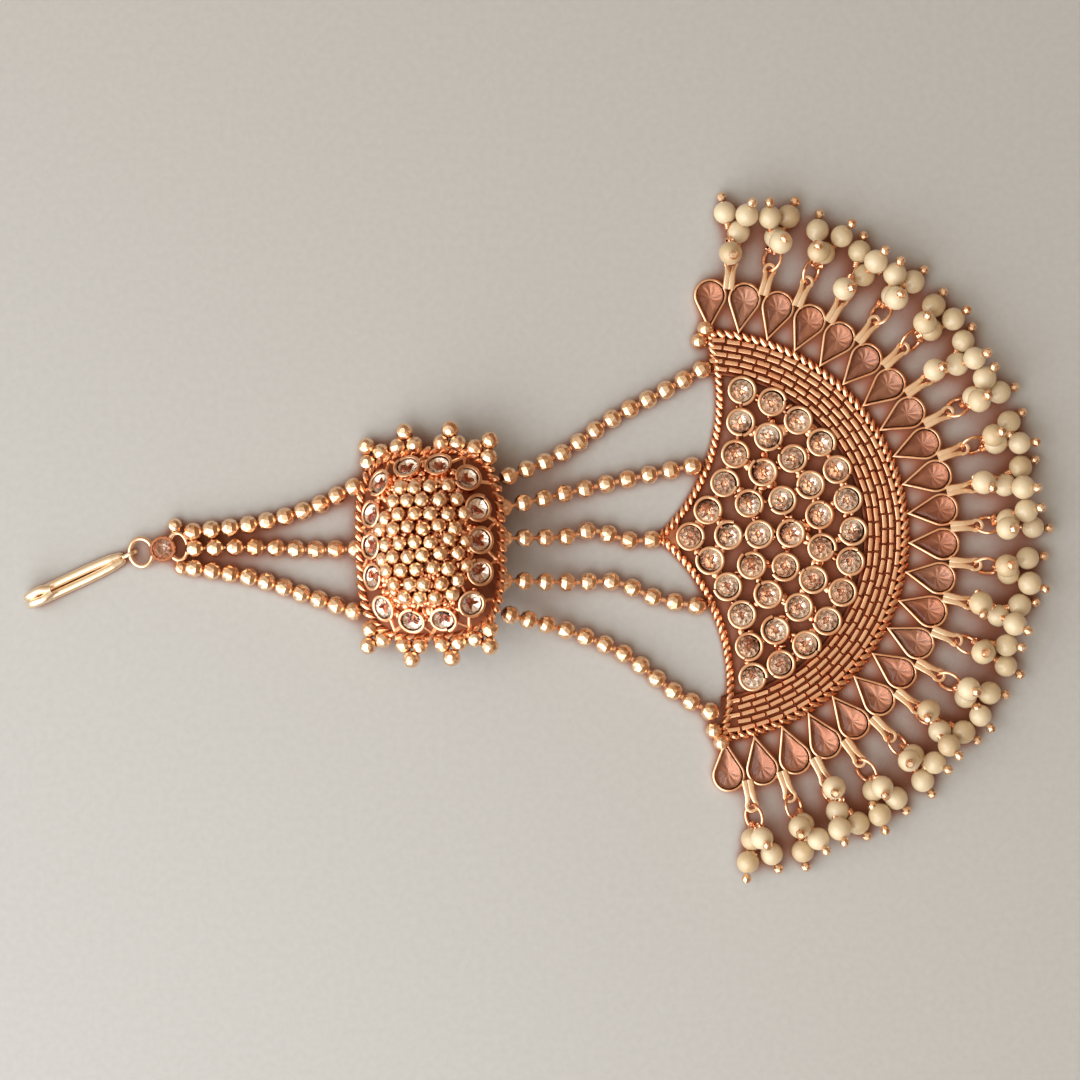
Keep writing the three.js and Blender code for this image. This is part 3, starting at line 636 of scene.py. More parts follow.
def lattice(places):
    """Rods between all near pairs, and drops round the middles of the rods."""
    first, second = near_pairs(places, NEIGHBOUR_REACH)
    starts, ends = places[first] + [0, 0, ROD_LIFT], places[second] + [0, 0, ROD_LIFT]
    share = chance.uniform(0.32, 0.68, (DROPS_PER_ROD * len(starts), 1))
    middle = np.tile(starts, (DROPS_PER_ROD, 1)) * share
    middle = middle + np.tile(ends, (DROPS_PER_ROD, 1)) * (1 - share)
    middle = middle + spread(middle.shape, 0.75)
    middle[:, 2] = chance.uniform(0.7, 1.3, len(middle))
    free = np.linalg.norm(middle[:, None, :2] - places[None, :, :2], axis=-1).min(1)
    middle = middle[free > BEZEL_RADIUS]
    drops = spun(shift(middle))
    drops[:, :3, :3] *= chance.uniform(0.6, 2.0, (len(middle), 1, 3))
    return moved(together([rods(starts, ends, ROD_RADIUS),
                           copies(smooth_ball(DROP_RADIUS, 8, 4), drops)]), fan_turn)


write_piece("fan_lattice", lattice(stone_places), rose_gold)

# %% [markdown]
# ## The woven band
# Outside the stones lies a band of five rows of short wires, laid like bricks: each row is
# moved half a brick against the next, and fine cross wires dip between them. One brick is a
# rounded bar, and its rows and angles come from a counting formula.

# %% Bricks of the band
BAND_INNER = 26.63
BAND_OUTER = 32.28
BAND_REACH = 85.5
BRICK_ROWS = 5
BRICK_LENGTH = 2.42
BRICK_WIDTH = 0.86
BRICK_HEIGHT = 0.85
BRICK_SHARE = 0.93  # of its step that a brick fills
CROSS_WIRE = (1.25, 0.4, 0.6)  # length, width, height
CROSS_LIFT = 0.62


def spindle(length, section, sizes):
    """The section along x, with the sizes (share of the half length, size) of its thickness."""
    share, size = np.array(sizes).T
    return sweep(np.outer(share, [length / 2, 0, 0]), section, size=size)


def bar(length, width, height):
    """A flat-topped strip along x, drawn in at both ends as a cut wire is."""
    return spindle(length, flat_section(width, height), [
        (-1, 0.45), (-0.97, 0.78), (-0.88, 1), (0, 1), (0.88, 1), (0.97, 0.78), (1, 0.45)])


def brick_places(lift, half_step=0.0):
    """Places of all bricks: row radii evenly over the band, angles by the brick's length."""
    pitch = (BAND_OUTER - BAND_INNER) / BRICK_ROWS
    found = []
    for row in range(BRICK_ROWS):
        radius = BAND_INNER + pitch * (row + 0.5)
        step = np.degrees(BRICK_LENGTH / radius)
        count = int(2 * BAND_REACH / step)
        angle = (np.arange(count) - (count - 1) / 2 + 0.5 * (row % 2) + half_step) * step
        angle = angle[np.abs(angle) < BAND_REACH - step / 4]
        found.append(turn("z", angle) @ shift([radius, 0, lift]) @ turn("z", 90))
    return np.concatenate(found)


def wobble(places, amount, degrees):
    """Moves and turns each place a little by chance."""
    count = len(places)
    places = places @ shift(spread((count, 3), amount))
    return places @ turn("z", spread(count, degrees)) @ turn("y", spread(count, degrees))


brick = bar(BRICK_LENGTH * BRICK_SHARE, BRICK_WIDTH, BRICK_HEIGHT)
bricks = fan_turn @ wobble(brick_places(BRICK_HEIGHT), 0.05, 3.0)
cross = fan_turn @ brick_places(CROSS_LIFT, 0.5) @ turn("z", 90)
write_piece("band_bricks", copies(brick, bricks), rose_gold)
# The cross wires are near-black: painted shade in the gaps between the brick rows, with tarnished
# plating
write_piece("band_cross_wires", copies(bar(*CROSS_WIRE), cross), patina_and_shade)

# %% Back of the band
BACK_INNER = BAND_INNER - 0.1
BACK_HALF = (BAND_OUTER - BACK_INNER) / 2
BACK_HEIGHT = 0.5
band_arc = np.linspace(BAND_REACH, -BAND_REACH, 90)
back = sweep(polar(BACK_INNER + BACK_HALF, band_arc),
             [(-BACK_HALF, 0), (BACK_HALF, 0), (BACK_HALF, BACK_HEIGHT), (-BACK_HALF, BACK_HEIGHT)])
inner_wire = sweep(polar(BAND_INNER - 0.15, band_arc, 0.55), round_section(0.36))
# The band's back is near-black: painted shade under the bricks, with tarnished plating
write_piece("band_back", moved(together([back, inner_wire]), fan_turn), patina_and_shade)

# %% [markdown]
# ## Twisted ropes
# Two fine wires twisted together edge the fan. Of each turn only a slanting leaf shows, so the
# rope is built from those leaves on a core drawn near-black as painted shade between them: a
# spindle, set down at even steps of the path and turned by the rope's slant.

# %% Rim and scalloped edge
ROPE_RADIUS = 0.75
ROPE_SLANT = 36.0
RIM_STEP = 1.43
EDGE_STEP = 1.26
RIM_RADIUS = 32.905
EDGE_REACH = 86.6
EDGE_BULGE = 5.2
CUSP = ROW_PITCH * (APEX_SHARE - 1)


def edge_arc(side, count=60):
    """Arc from the cusp to the rim's end that bows inwards by the bulge."""
    corner = polar(RIM_RADIUS, EDGE_REACH)[:2]
    chord = corner - [CUSP, 0]
    half = np.linalg.norm(chord) / 2
    radius = (half**2 + EDGE_BULGE**2) / (2 * EDGE_BULGE)
    inwards = np.array([chord[1], -chord[0]]) / (2 * half)
    centre = np.array([CUSP, 0]) + chord / 2 - inwards * (radius - EDGE_BULGE)
    opening = np.degrees(np.arcsin(half / radius))
    facing = np.degrees(np.arctan2(inwards[1], inwards[0]))
    arc = polar(radius, np.linspace(facing - opening, facing + opening, count), ROPE_RADIUS)
    arc[:, :2] += centre
    return arc * [1, side, 1]


def leaf(length, width, height):
    """A spindle along x, blunt at one end and drawn out to a point at the other."""
    return spindle(length, round_section(width / 2, 8, height / width), [
        (-1, 0.25), (-0.93, 0.6), (-0.7, 0.93), (-0.3, 1), (0.15, 0.92), (0.55, 0.7),
        (0.85, 0.4), (1, 0.12)])


def leaf_rope(path, step, radius, slant=ROPE_SLANT, closed=False):
    """A core for the painted shade between the leaves, and a leaf at every step of a level path."""
    whole = np.vstack([path, path[:1]]) if closed else path
    length = lengths(whole)[-1]
    count = round(length / step)
    along = (np.arange(count) + 0.5) / count * length
    here, next_one = (points_at(whole, along + ahead) for ahead in (-0.05, 0.05))
    course = np.degrees(np.arctan2(*(next_one - here)[:, [1, 0]].T))
    seats = shift((here + next_one) / 2) @ turn("z", course + slant + spread(count, 3))
    shape = leaf(radius * 3.2, radius * 1.35, radius * 2.0)
    return copies(shape, seats), sweep(path, round_section(radius * 0.6, 8), closed)


rim = polar(RIM_RADIUS, np.linspace(-EDGE_REACH, EDGE_REACH, 120), ROPE_RADIUS)
ropes = [leaf_rope(rim, RIM_STEP, ROPE_RADIUS, -ROPE_SLANT)]
ropes += [leaf_rope(edge_arc(side), EDGE_STEP, ROPE_RADIUS * 0.92, side * ROPE_SLANT)
          for side in (1, -1)]
leaves, cores = zip(*ropes)
write_piece("fan_ropes", moved(together(leaves), fan_turn), rose_gold)
write_piece("fan_rope_cores", moved(together(cores), fan_turn), patina_and_shade)

# %% Cusp plate and corner beads
CORNER_BEAD = 1.35


def at_height(outline, height):
    outline = np.asarray(outline, float)[:, :2]
    return np.column_stack([outline, np.full(len(outline), height)])


PLATE_POINT = 9  # of the edge's sixty points
PLATE_HEIGHT = 0.8
upper = edge_arc(1)
wing = upper[PLATE_POINT, :2]
kite = [[CUSP + 0.3, 0], wing * [1, -1], [CUSP + 2.6, 0], wing]
plate = stacked([at_height(kite, 0), at_height(kite, PLATE_HEIGHT)])
corner = upper[-1]
beads = [[corner[0] - CORNER_BEAD, side * (corner[1] - CORNER_BEAD), CORNER_BEAD]
         for side in (1, -1)]
beads += [[corner[0] - 0.2, side * (corner[1] + 0.6), CORNER_BEAD] for side in (1, -1)]
corner_beads = copies(cut_ball(CORNER_BEAD), shift(beads) @ turn("y", 70))
# The cusp plate takes the shaded copy of the rose gold: painted shade
write_piece("fan_cusp_plate", moved(plate, fan_turn), shaded_rose_gold)
write_cut("fan_corner_beads", moved(corner_beads, fan_turn), bright_gold)

# %% [markdown]
# ## Teardrop stones
# Twenty-two pear-shaped stones stand like petals round the rope, each in a thin strip of
# metal. The outline is a circle and its two tangents from the tip. The wall is that outline
# twice, outside and inside, and the stone is the same outline drawn in towards its middle.

# %% Teardrop bezels and stones
TEAR_TIP = RIM_RADIUS + 0.25
TEAR_LENGTH = 8.4
TEAR_WIDTH = 5.3
TEAR_WALL = 0.35
TEAR_HEIGHT = 1.95
TEAR_FOOT = 0.15
TEAR_INSET = TEAR_WALL + 0.16
TEAR_REACH = 85.9
TEAR_COUNT = 22
LOBE = TEAR_WIDTH / 2
LOBE_CENTRE = TEAR_TIP + TEAR_LENGTH - LOBE
tear_angles = np.linspace(-TEAR_REACH, TEAR_REACH, TEAR_COUNT)


def tear_outline(inset, lobe_points=20):
    """The tip, then the lobe between the tangents, all drawn in by the inset."""
    lobe = LOBE - inset
    reach = (LOBE_CENTRE - TEAR_TIP) * lobe / LOBE
    open_angle = np.degrees(np.arccos(lobe / reach))
    arc = polar(lobe, np.linspace(open_angle - 180, 180 - open_angle, lobe_points))[:, :2]
    tip = np.array([[-reach, 0]])
    side = np.concatenate([(tip * 2 + arc[0]) / 3, (tip + arc[0] * 2) / 3])
    return np.concatenate([tip, side, arc, side[::-1] * [1, -1]]) + [LOBE_CENTRE, 0]


def tear_wall():
    """The outline at each inset and height of the wall's section, as one closed ring."""
    shoulder = TEAR_HEIGHT - 0.08
    section = [(0, TEAR_FOOT), (0, shoulder), (0.1, TEAR_HEIGHT), (0.27, TEAR_HEIGHT),
               (TEAR_WALL, shoulder), (TEAR_WALL, TEAR_FOOT)]
    rows = np.array([at_height(tear_outline(inset), height) for inset, height in section])
    return Shape(rows, grid(*rows.shape[:2], round_rows=True)[:, ::-1])


tear_seats = turn("z", tear_angles + FAN_TURN)
write_piece("teardrop_bezels", copies(tear_wall(), tear_seats), rose_gold)

PEAR = tear_outline(TEAR_INSET, 13)
PEAR_MIDDLE = np.array([LOBE_CENTRE - 0.5, 0])


def pear(levels):
    """The stone's outline drawn towards its middle by each level's size, at its height."""
    return stacked([at_height(PEAR_MIDDLE + (PEAR - PEAR_MIDDLE) * size, height)
                    for size, height in levels])


cut_pear = pear([(0.05, 0.8), (0.55, 1.05), (1, 1.3), (1, 1.4), (0.7, 1.78), (0.35, 1.92)])
stone_seats = tilted(tear_seats @ shift([LOBE_CENTRE, 0, 0]), 4, 3) @ shift([-LOBE_CENTRE, 0, 0])
write_cut("teardrop_stones", copies(cut_pear, stone_seats), champagne, slot="champagne_stone")
# The foil is a trough: an outer wall, then the rim, half way down with every other point sunk,
# and the keel
half_way = 0.98 - np.where(np.arange(len(PEAR)) % 2, 0.07, 0.0)
trough = pear([(1, TEAR_FOOT), (1, 1.1), (0.5, half_way), (0.04, 0.82)])
write_cut("teardrop_foils", copies(trough, stone_seats), smoky_foil)

# %% [markdown]
# ## Strap bails and jump rings
# Between two teardrops a flat strap is folded like a hairpin: its legs lie together at the
# root, part in a V and pass round an eye. A jump ring of round wire passes through the eye and
# leans to one side or the other, as it fell.

# %% Bails
BAIL_WIDTH = 1.9
BAIL_THICKNESS = 0.6
BAIL_LEG = 1.1
EYE_CENTRE = TEAR_TIP + TEAR_LENGTH + 2.75
EYE_MIDDLE_RADIUS = 0.86
RING_RADIUS = 1.975
RING_WIRE = 0.275
RING_CLEAR = 0.05
RING_SEAT = 0.15
PEARL_RADIUS = 1.9
PEARL_LIFT = 0.05
# How the pearls of a ring lie, in turn round the fan, as shares of the pearl's radius from the
# ring's middle: reach, across, lift. The last ones lie on top, and only this scene has them.
FALLS = [
    (52, [(1.95, -0.28, 0), (3.35, 0.74, 0), (1.65, 0.2, 1.55), (3.7, -1.1, 0.3)]),
    (-50, [(1.95, 0.33, 0), (3.57, -0.3, 0), (1.55, -0.1, 1.5), (2.9, 1.4, 0.9)]),
    (54, [(1.95, -0.35, 0), (3.25, 0.8, 0), (-0.3, 0.3, 1.7), (2.9, -1.2, 1.2)]),
]


def ring_lift(lean):
    return RING_RADIUS * np.sin(np.radians(abs(lean))) + RING_WIRE + RING_CLEAR


def strap_bail():
    """A hairpin path swept by a flat oval: straight legs, then a loop round the eye."""
    root = TEAR_TIP + TEAR_LENGTH - 1.5
    loop = polar(EYE_MIDDLE_RADIUS, np.linspace(-130, 130, 19)) + [EYE_CENTRE, 0, 0]
    side = BAIL_WIDTH / 2 - BAIL_LEG / 2
    leg = np.array([[root, -side, 0], [root + 1.1, -side, 0.12],
                    [EYE_CENTRE - 1.9, -side, 0.15]])
    path = np.concatenate([leg, loop + [0, 0, 0.1], leg[::-1] * [1, -1, 1]])
    path = route(path, 56)
    from_eye = np.abs(np.linspace(-1, 1, len(path)))
    size = 0.55 + 0.47 * np.clip(from_eye * 2.4 - 0.5, 0, 1)
    section = flat_section(BAIL_LEG, BAIL_THICKNESS)
    lift = ring_lift(FALLS[0][0])
    return moved(sweep(path, section, size=size), shift([0, 0, lift]))


bail_angles = (tear_angles[1:] + tear_angles[:-1]) / 2
bail_seats = turn("z", bail_angles + FAN_TURN)
write_piece("strap_bails", copies(strap_bail(), bail_seats), bright_gold)

# %% Jump rings
leans = np.array([FALLS[i % len(FALLS)][0] for i in range(len(bail_angles))])
RING_PLACE = EYE_CENTRE - RING_SEAT + RING_RADIUS
ring = sweep(polar(RING_RADIUS, np.arange(0, -360, -10)), round_section(RING_WIRE), closed=True)
ring_middles = np.stack([np.full(len(leans), RING_PLACE), 0 * leans, ring_lift(leans)], -1)
ring_seats = bail_seats @ shift(ring_middles) @ turn("x", leans)
write_piece("jump_rings", copies(ring, ring_seats), rose_gold)

# %% [markdown]
# ## Pearls on head pins
# Each pearl is threaded on a pin whose head is a small bright ball. The pin's other end is
# bent into an eye round the jump ring and wrapped three or four times. The pin runs through
# the pearl's middle, so it points about from the ring to the pearl, askew by chance.

# %% Pearls, wraps and heads
def pearl_points():
    """For each pearl: where its pin grips the ring, and the pearl's middle, in fan space."""
    grips, middles = [], []
    for index, seat in enumerate(bail_seats):
        lean, pearls = FALLS[index % len(FALLS)]
        centre = np.array([RING_PLACE, 0, ring_lift(lean)])
        offset = np.array(pearls) * PEARL_RADIUS
        offset[:, 2] += PEARL_LIFT + PEARL_RADIUS
        middle = offset + [RING_PLACE, 0, 0]
        slope = np.radians(lean)
        toward = np.arctan2(offset[:, 1] / np.cos(slope), offset[:, 0]) + spread(len(offset), 0.3)
        grip = centre + RING_RADIUS * np.stack(
            [np.cos(toward), np.sin(toward) * np.cos(slope), np.sin(toward) * np.sin(slope)], -1)
        grips.append(grip @ seat[:3, :3].T)
        middles.append(middle @ seat[:3, :3].T)
    return np.concatenate(grips), np.concatenate(middles)


def settled(middles):
    """Pearls pushed apart, half the overlap each, until none is inside another."""
    for _ in range(80):
        between = middles[:, None] - middles[None]
        apart = np.linalg.norm(between, axis=-1) + np.eye(len(middles)) * 9
        overlap = np.maximum(2 * PEARL_RADIUS - apart, 0)[..., None]
        middles = middles + (between / apart[..., None] * overlap * 0.5).sum(1)
        middles[:, 2] = np.maximum(middles[:, 2], PEARL_RADIUS + PEARL_LIFT)
    return middles


grips, middles = pearl_points()
middles = settled(middles + spread(middles.shape, 0.25))
way = unit(middles - grips + spread(middles.shape, 0.5))
way[:, 2] = np.maximum(way[:, 2], -0.2)
pearl_places = aim(middles, middles + unit(way))
sized = pearl_places.copy()
sized[:, :3, :3] *= chance.uniform(0.95, 1.02, (len(middles), 1, 1))
clusters = [name for name in nodes if name.startswith("pearl_cluster")]
write_piece("pearls", copies(smooth_ball(PEARL_RADIUS), sized), pearl, clusters, "ivory_pearl")

HEAD_RADIUS = 0.84
head = cut_ball(HEAD_RADIUS, 8, (-60, -20, 20, 60))
heads = pearl_places @ shift([0, 0, PEARL_RADIUS + HEAD_RADIUS * 0.9])
write_cut("pin_heads", copies(head, heads), bright_gold, slot="pale_gold_plate")


def wrap(radius, wire, turns, length):
    """A helix along z: (r cos a, r sin a, length * share)."""
    share = np.linspace(0, 1, turns * 10 + 1)
    helix = polar(radius, share * 360 * turns, share * length)
    return sweep(helix, round_section(wire, 5))


WRAP_LENGTH = 0.9
PIN_RADIUS = 0.2
PIN_EYE_RADIUS = 0.68
wraps = pearl_places @ shift([0, 0, -PEARL_RADIUS - WRAP_LENGTH + 0.1])
eye_ring = sweep(polar(PIN_EYE_RADIUS, np.arange(0, -360, -24)), round_section(0.19, 6),
                 closed=True)
eye_seats = aim(grips, middles) @ turn("y", 90) @ shift([0.1, 0, 0])
coils = spun(shift(grips)) @ turn("x", 70) @ shift([0, 0, -0.5])
write_piece("pin_wraps", together([copies(wrap(0.4, 0.18, 3, WRAP_LENGTH), wraps),
                                   copies(wrap(0.52, 0.15, 4, 1.0), coils),
                                   copies(eye_ring, eye_seats),
                                   rods(grips, wraps[:, :3, 3], PIN_RADIUS, 6)]), rose_gold)

# %% [markdown]
# ## Strings of cut beads
# The strings are bead chains: diamond-cut balls with a thin wire between them. The model
# gives each string's course, and the beads stand on it at even steps.

# %% Bead strings
BEAD_RADIUS = 1.55
STRING_WIRE = 0.36
COURSE_STEPS = 400
END_STEPS = 7
# Course of each string in mm from the fan's middle, and its number of beads
STRINGS = {
    "upper_chain_1": ([[-82.8, 0.6, 1.5], [-72.7, 1.9, 1.45], [-63.7, 4.3, 1.45],
                       [-55.9, 8.1, 1.7]], 10),
    "upper_chain_2": ([[-82.5, -2.0, 1.5], [-72.1, -1.8, 1.45], [-63.3, -2.2, 1.45],
                       [-55.5, -2.1, 1.8]], 9),
    "upper_chain_3": ([[-82.6, -5.1, 1.5], [-72.6, -6.8, 1.45], [-63.9, -9.6, 1.45],
                       [-55.9, -12.3, 2]], 10),
    "lower_chain_1": ([[-31.85, 9.3, 4.85], [-23.1, 13.1, 1.9], [-14.6, 18.9, 1.5],
                       [-5.9, 23.6, 1.5], [0.35, 27.2, 1.5]], 12),
    "lower_chain_2": ([[-32.6, 4.4, 5.85], [-21.1, 7.1, 2.1], [-11.4, 9.3, 1.5],
                       [-1.2, 11.4, 1.5]], 10),
    "lower_chain_3": ([[-32.5, -0.4, 6.2], [-21.2, 0, 2.3], [-17.9, 0.9, 1.7],
                       [-11.8, -0.7, 1.5], [-7.8, -0.6, 1.5]], 8),
    "lower_chain_4": ([[-32.6, -7.1, 6.4], [-20.8, -7.5, 2.3], [-13.8, -7.5, 1.6],
                       [-7.6, -10, 1.5], [-0.45, -11.4, 1.5]], 10),
    "lower_chain_5": ([[-31.6, -12.5, 6.2], [-22.7, -15, 2.3], [-12.9, -18.9, 1.6],
                       [-4.5, -25.2, 1.5], [1.75, -28.65, 1.5]], 12),
}


def bead_places(points, count):
    """Even steps of the course, a little in from both ends, turned by chance."""
    fine = route(points, COURSE_STEPS)
    at = np.linspace(END_STEPS, COURSE_STEPS - END_STEPS, count).astype(int)
    return spun(aim(fine[at], fine[at + END_STEPS - 1]))


bead_seats, wires = [], []
for name, (points, count) in STRINGS.items():
    bead_seats.append(bead_places(points, count))
    wires.append(sweep(route(points, 60), round_section(STRING_WIRE, 6)))
bead_seats = np.concatenate(bead_seats)
write_cut("string_beads", copies(cut_ball(BEAD_RADIUS), bead_seats), bright_gold, list(STRINGS))
write_piece("string_wires", together(wires), rose_gold)

# %% [markdown]
# ## The domed plaque
# The plaque is a cushion-shaped dome that lies tilted. Its border slopes and carries fourteen
# stones, its top is covered with cut balls, a rope runs round its foot, and trios of balls
# stand on the rim. Its outline is a rounded oblong: |x/w|^n + |y/l|^n = 1.

# %% Dome
PLAQUE_TILT = (-4.0, -13.0, 2.0)  # about x, y and z
PLAQUE_PLACE = (-43.6, -1.4, 4.096)
HALF_WIDTH = 11.5
HALF_LENGTH = 14.7
SQUARENESS = 3.4
NARROWING = 0.69
PLAQUE_HEIGHT = 7.2
# The dome's section from foot to top: shares of the half width, and of the height
SECTION_WIDTH = np.array([1.0, 0.94, 0.56, 0.36, 0.0])
SECTION_HEIGHT = np.array([0.17, 0.24, 0.68, 0.9, 1.0])

plaque_seat = (shift(PLAQUE_PLACE) @ turn("x", PLAQUE_TILT[0]) @ turn("y", PLAQUE_TILT[1])
               @ turn("z", PLAQUE_TILT[2]))[0]


def half_length(half_width):
    """The dome gets shorter more slowly than it gets narrower."""
    return HALF_LENGTH * (half_width / HALF_WIDTH) ** NARROWING


def rise(half_width):
    """Height of the dome where its outline has this half width."""
    return PLAQUE_HEIGHT * np.interp(-half_width / HALF_WIDTH, -SECTION_WIDTH, SECTION_HEIGHT)


def oblong(half_width, degrees):
    """Point of the rounded oblong of this half width, at this angle."""
    angle = np.radians(degrees)
    distance = (np.abs(np.cos(angle) / half_width) ** SQUARENESS
                + np.abs(np.sin(angle) / half_length(half_width)) ** SQUARENESS) ** (
                    -1 / SQUARENESS)
    return np.stack([distance * np.cos(angle), distance * np.sin(angle)], -1)


def outward(half_width, degrees):
    """Direction across the outline at this angle, in degrees."""
    step = oblong(half_width, degrees + 0.5) - oblong(half_width, degrees - 0.5)
    return np.degrees(np.arctan2(-step[..., 0], step[..., 1]))


def even_angles(half_width, count, start=0.0):
    """Angles that part the outline into equal lengths."""
    fine = np.linspace(0, 360, 1441)
    length = lengths(oblong(half_width, fine))
    return np.interp((np.arange(count) + start) / count * length[-1], length, fine)


def even_ring(half_width, count, height, start=0.0):
    """Points that part the outline into equal lengths, at a height."""
    return at_height(oblong(half_width, even_angles(half_width, count, start)), height)


def dome(sides=96):
    """Rows of oblongs from the foot to the top, through the section's widths and heights."""
    width = HALF_WIDTH * np.array([0.96, 1.0, 1.0, 0.98, 0.94, 0.82, 0.69, 0.56, 0.46, 0.36,
                                   0.2, 0.08])
    height = np.concatenate([[0, 0.05 * PLAQUE_HEIGHT], rise(width[2:])])
    angle = np.linspace(0, 360, sides, endpoint=False)
    return stacked([at_height(oblong(w, angle), h) for w, h in zip(width, height)])


# The dome shows only between the balls; its near-black is painted shade with tarnished plating
write_piece("plaque_dome", moved(dome(), plaque_seat), patina_and_shade, ["plaque"])

# %% Rope round the foot
leaves, core = leaf_rope(even_ring(HALF_WIDTH + 0.15, 160, 1.15), 1.6, 0.85, closed=True)
write_piece("plaque_rope", moved(leaves, plaque_seat), rose_gold)
# The core is near-black: painted shade between the rope's leaves
write_piece("plaque_rope_core", moved(core, plaque_seat), patina_and_shade)

# %% Border stones
BORDER_STONES = 14
BORDER_INSET = 3
BORDER_SLOPE = 35
BORDER_RADIUS = 2.25
BORDER_PROUD = 1.2


def border_seats():
    """Seats on the sloping border: turned outward by the outline, leaned by the slope."""
    half_width = HALF_WIDTH - BORDER_INSET
    angle = even_angles(half_width, BORDER_STONES)
    places = shift(at_height(oblong(half_width, angle), rise(half_width)))
    return places @ turn("z", outward(half_width, angle)) @ turn("y", BORDER_SLOPE)


border = plaque_seat @ border_seats()
border_stones = [name for name in nodes if name.startswith("plaque_stone")]
write_piece("plaque_bezels", bezels(border, BORDER_RADIUS, BORDER_PROUD, -0.9), rose_gold)
border_spun = spun(border)
BORDER_CUT = BORDER_RADIUS - BEZEL_WALL - 0.1
write_cut("plaque_stones", copies(brilliant(BORDER_CUT, 0.9, 1.35, 0.3), border_spun), champagne,
          border_stones, "champagne_stone")
write_cut("plaque_foils", copies(foil_cup(BORDER_CUT, 0.78, 0.2, -0.4), border_spun), foil)

# %% Balls on the dome
BALL_RADIUS = 1.28
BALL_PITCH = 2.5
BALL_FIELD = (7.3, 9.9)  # half axes of the rounded field that the balls fill, mm


def dome_height(points):
    """Height of the dome over each point: the oblong through it is found by halving."""
    low, high = np.full(len(points), 1e-3), np.full(len(points), HALF_WIDTH)
    for _ in range(30):
        middle = (low + high) / 2
        inside = (np.abs(points[:, 0] / middle) ** SQUARENESS
                  + np.abs(points[:, 1] / half_length(middle)) ** SQUARENESS) < 1
        low, high = np.where(inside, low, middle), np.where(inside, middle, high)
    return rise(high)


def ball_places():
    """Middles of the balls: a field of triangles clipped by an oval, then shaken a little."""
    row, column = np.meshgrid(np.arange(-5, 6), np.arange(-4, 5), indexing="ij")
    field = np.stack([column + 0.5 * (row % 2) - 0.25, row * np.sqrt(0.75)], -1) * BALL_PITCH
    field = field[(np.abs(field / BALL_FIELD) ** 3).sum(-1) < 1]
    field = field + spread(field.shape, 0.28)
    return np.column_stack([field, dome_height(field) + BALL_RADIUS * 0.6])


ball_middles = ball_places()
balls = tilted(shift(ball_middles), 60, 60)
write_cut("plaque_balls", copies(cut_ball(BALL_RADIUS), plaque_seat @ balls), bright_gold)


# %% Solder over the dome
def links_between(places, limit, radius):
    """Short rods between all near pairs of places."""
    first, second = near_pairs(places, limit)
    return rods(places[first], places[second], radius)


def drops(count):
    """Flat drops of solder strewn over the dome, thinly on its right, each of its own size."""
    place = polar(np.sqrt(chance.uniform(0.1, 1, count)), chance.uniform(0, 360, count))[:, :2]
    place = place * [9.6, 13.2]
    place = place[place[:, 0] < chance.uniform(2, 12, len(place))]
    seats = shift(np.column_stack([place, dome_height(place) - 0.1]))
    seats[:, [0, 1, 2], [0, 1, 2]] = chance.uniform(0.35, 0.95, (len(seats), 3))
    return copies(smooth_ball(1.0, 9, 5), seats)


border_middles = border_seats()[:, :3, 3] + [0, 0, 0.5]
foot_middles = even_ring(HALF_WIDTH - 0.5, BORDER_STONES, 1.4, 0.5)
net = [links_between(ball_middles - [0, 0, BALL_RADIUS * 0.5], 3.3, 0.42),
       links_between(np.concatenate([ball_middles - [0, 0, 0.9], border_middles]), 4.6, 0.34),
       links_between(np.concatenate([foot_middles, border_middles]), 4.8, 0.36), drops(420)]
write_piece("plaque_solder", moved(together(net), plaque_seat), rose_gold)

# %% Trios on the rim
TRIO_RADIUS = 1.44
TRIO_ANGLES = np.array([58, 76, 103, 121, -123, -103, -79, -61])
# Places of a trio's balls: outward of the rim, aside and up, mm
TRIO = np.array([(1.4, -1.38, 1.25), (1.4, 1.38, 1.25), (3.7, 0, 1.25)])

trio_seats = shift(at_height(oblong(HALF_WIDTH, TRIO_ANGLES), 0)) @ turn(
    "z", outward(HALF_WIDTH, TRIO_ANGLES))
trio_seats = (trio_seats[:, None] @ shift(TRIO)[None]).reshape(-1, 4, 4)
trio_seats = trio_seats @ turn("y", spread(len(trio_seats), 80))
write_cut("plaque_trios", copies(cut_ball(TRIO_RADIUS), plaque_seat @ trio_seats), bright_gold)

# %% [markdown]
# ## Stone link and hair hook
# A small stone in a scalloped bezel sits between two oval loops. The strings start from the
# second loop, and the hook's eye holds the first. The hook is one pale wire folded in two, with
# its closed end turned back over the legs.

# %% Stone link
LINK_PLACE = (-87.1, -2.1, 0)
LINK_TURN = 9
LINK_RADIUS = 2.0
LINK_CUT = LINK_RADIUS - 0.42
LINK_BALL = 1.25
LOOP_WIRE = 0.4
LOOP_LIFT = 1.35
HOOK_LOOP = (1.85, 2.25)
STRING_LOOP = (1.45, 2.2)
HOOK_LOOP_PLACE = -(LINK_RADIUS + HOOK_LOOP[0] - 0.25)
STRING_LOOP_PLACE = LINK_RADIUS + STRING_LOOP[0] - 1.0
link_seat = (shift(LINK_PLACE) @ turn("z", LINK_TURN))[0]


def oval_loop(half_axes, place):
    path = polar(1.0, np.arange(0, -360, -9)) * [*half_axes, 1] + [place, 0, LOOP_LIFT]
    return sweep(path, round_section(LOOP_WIRE, 10), closed=True)


def scalloped_rim():
    """A ring whose radius ripples sixteen times round."""
    angle = np.arange(0, -360, -360 / 96)
    path = polar(LINK_RADIUS - 0.18 + 0.07 * np.cos(np.radians(angle) * 16), angle, 2.4)
    return sweep(path, round_section(0.26, 6), closed=True)


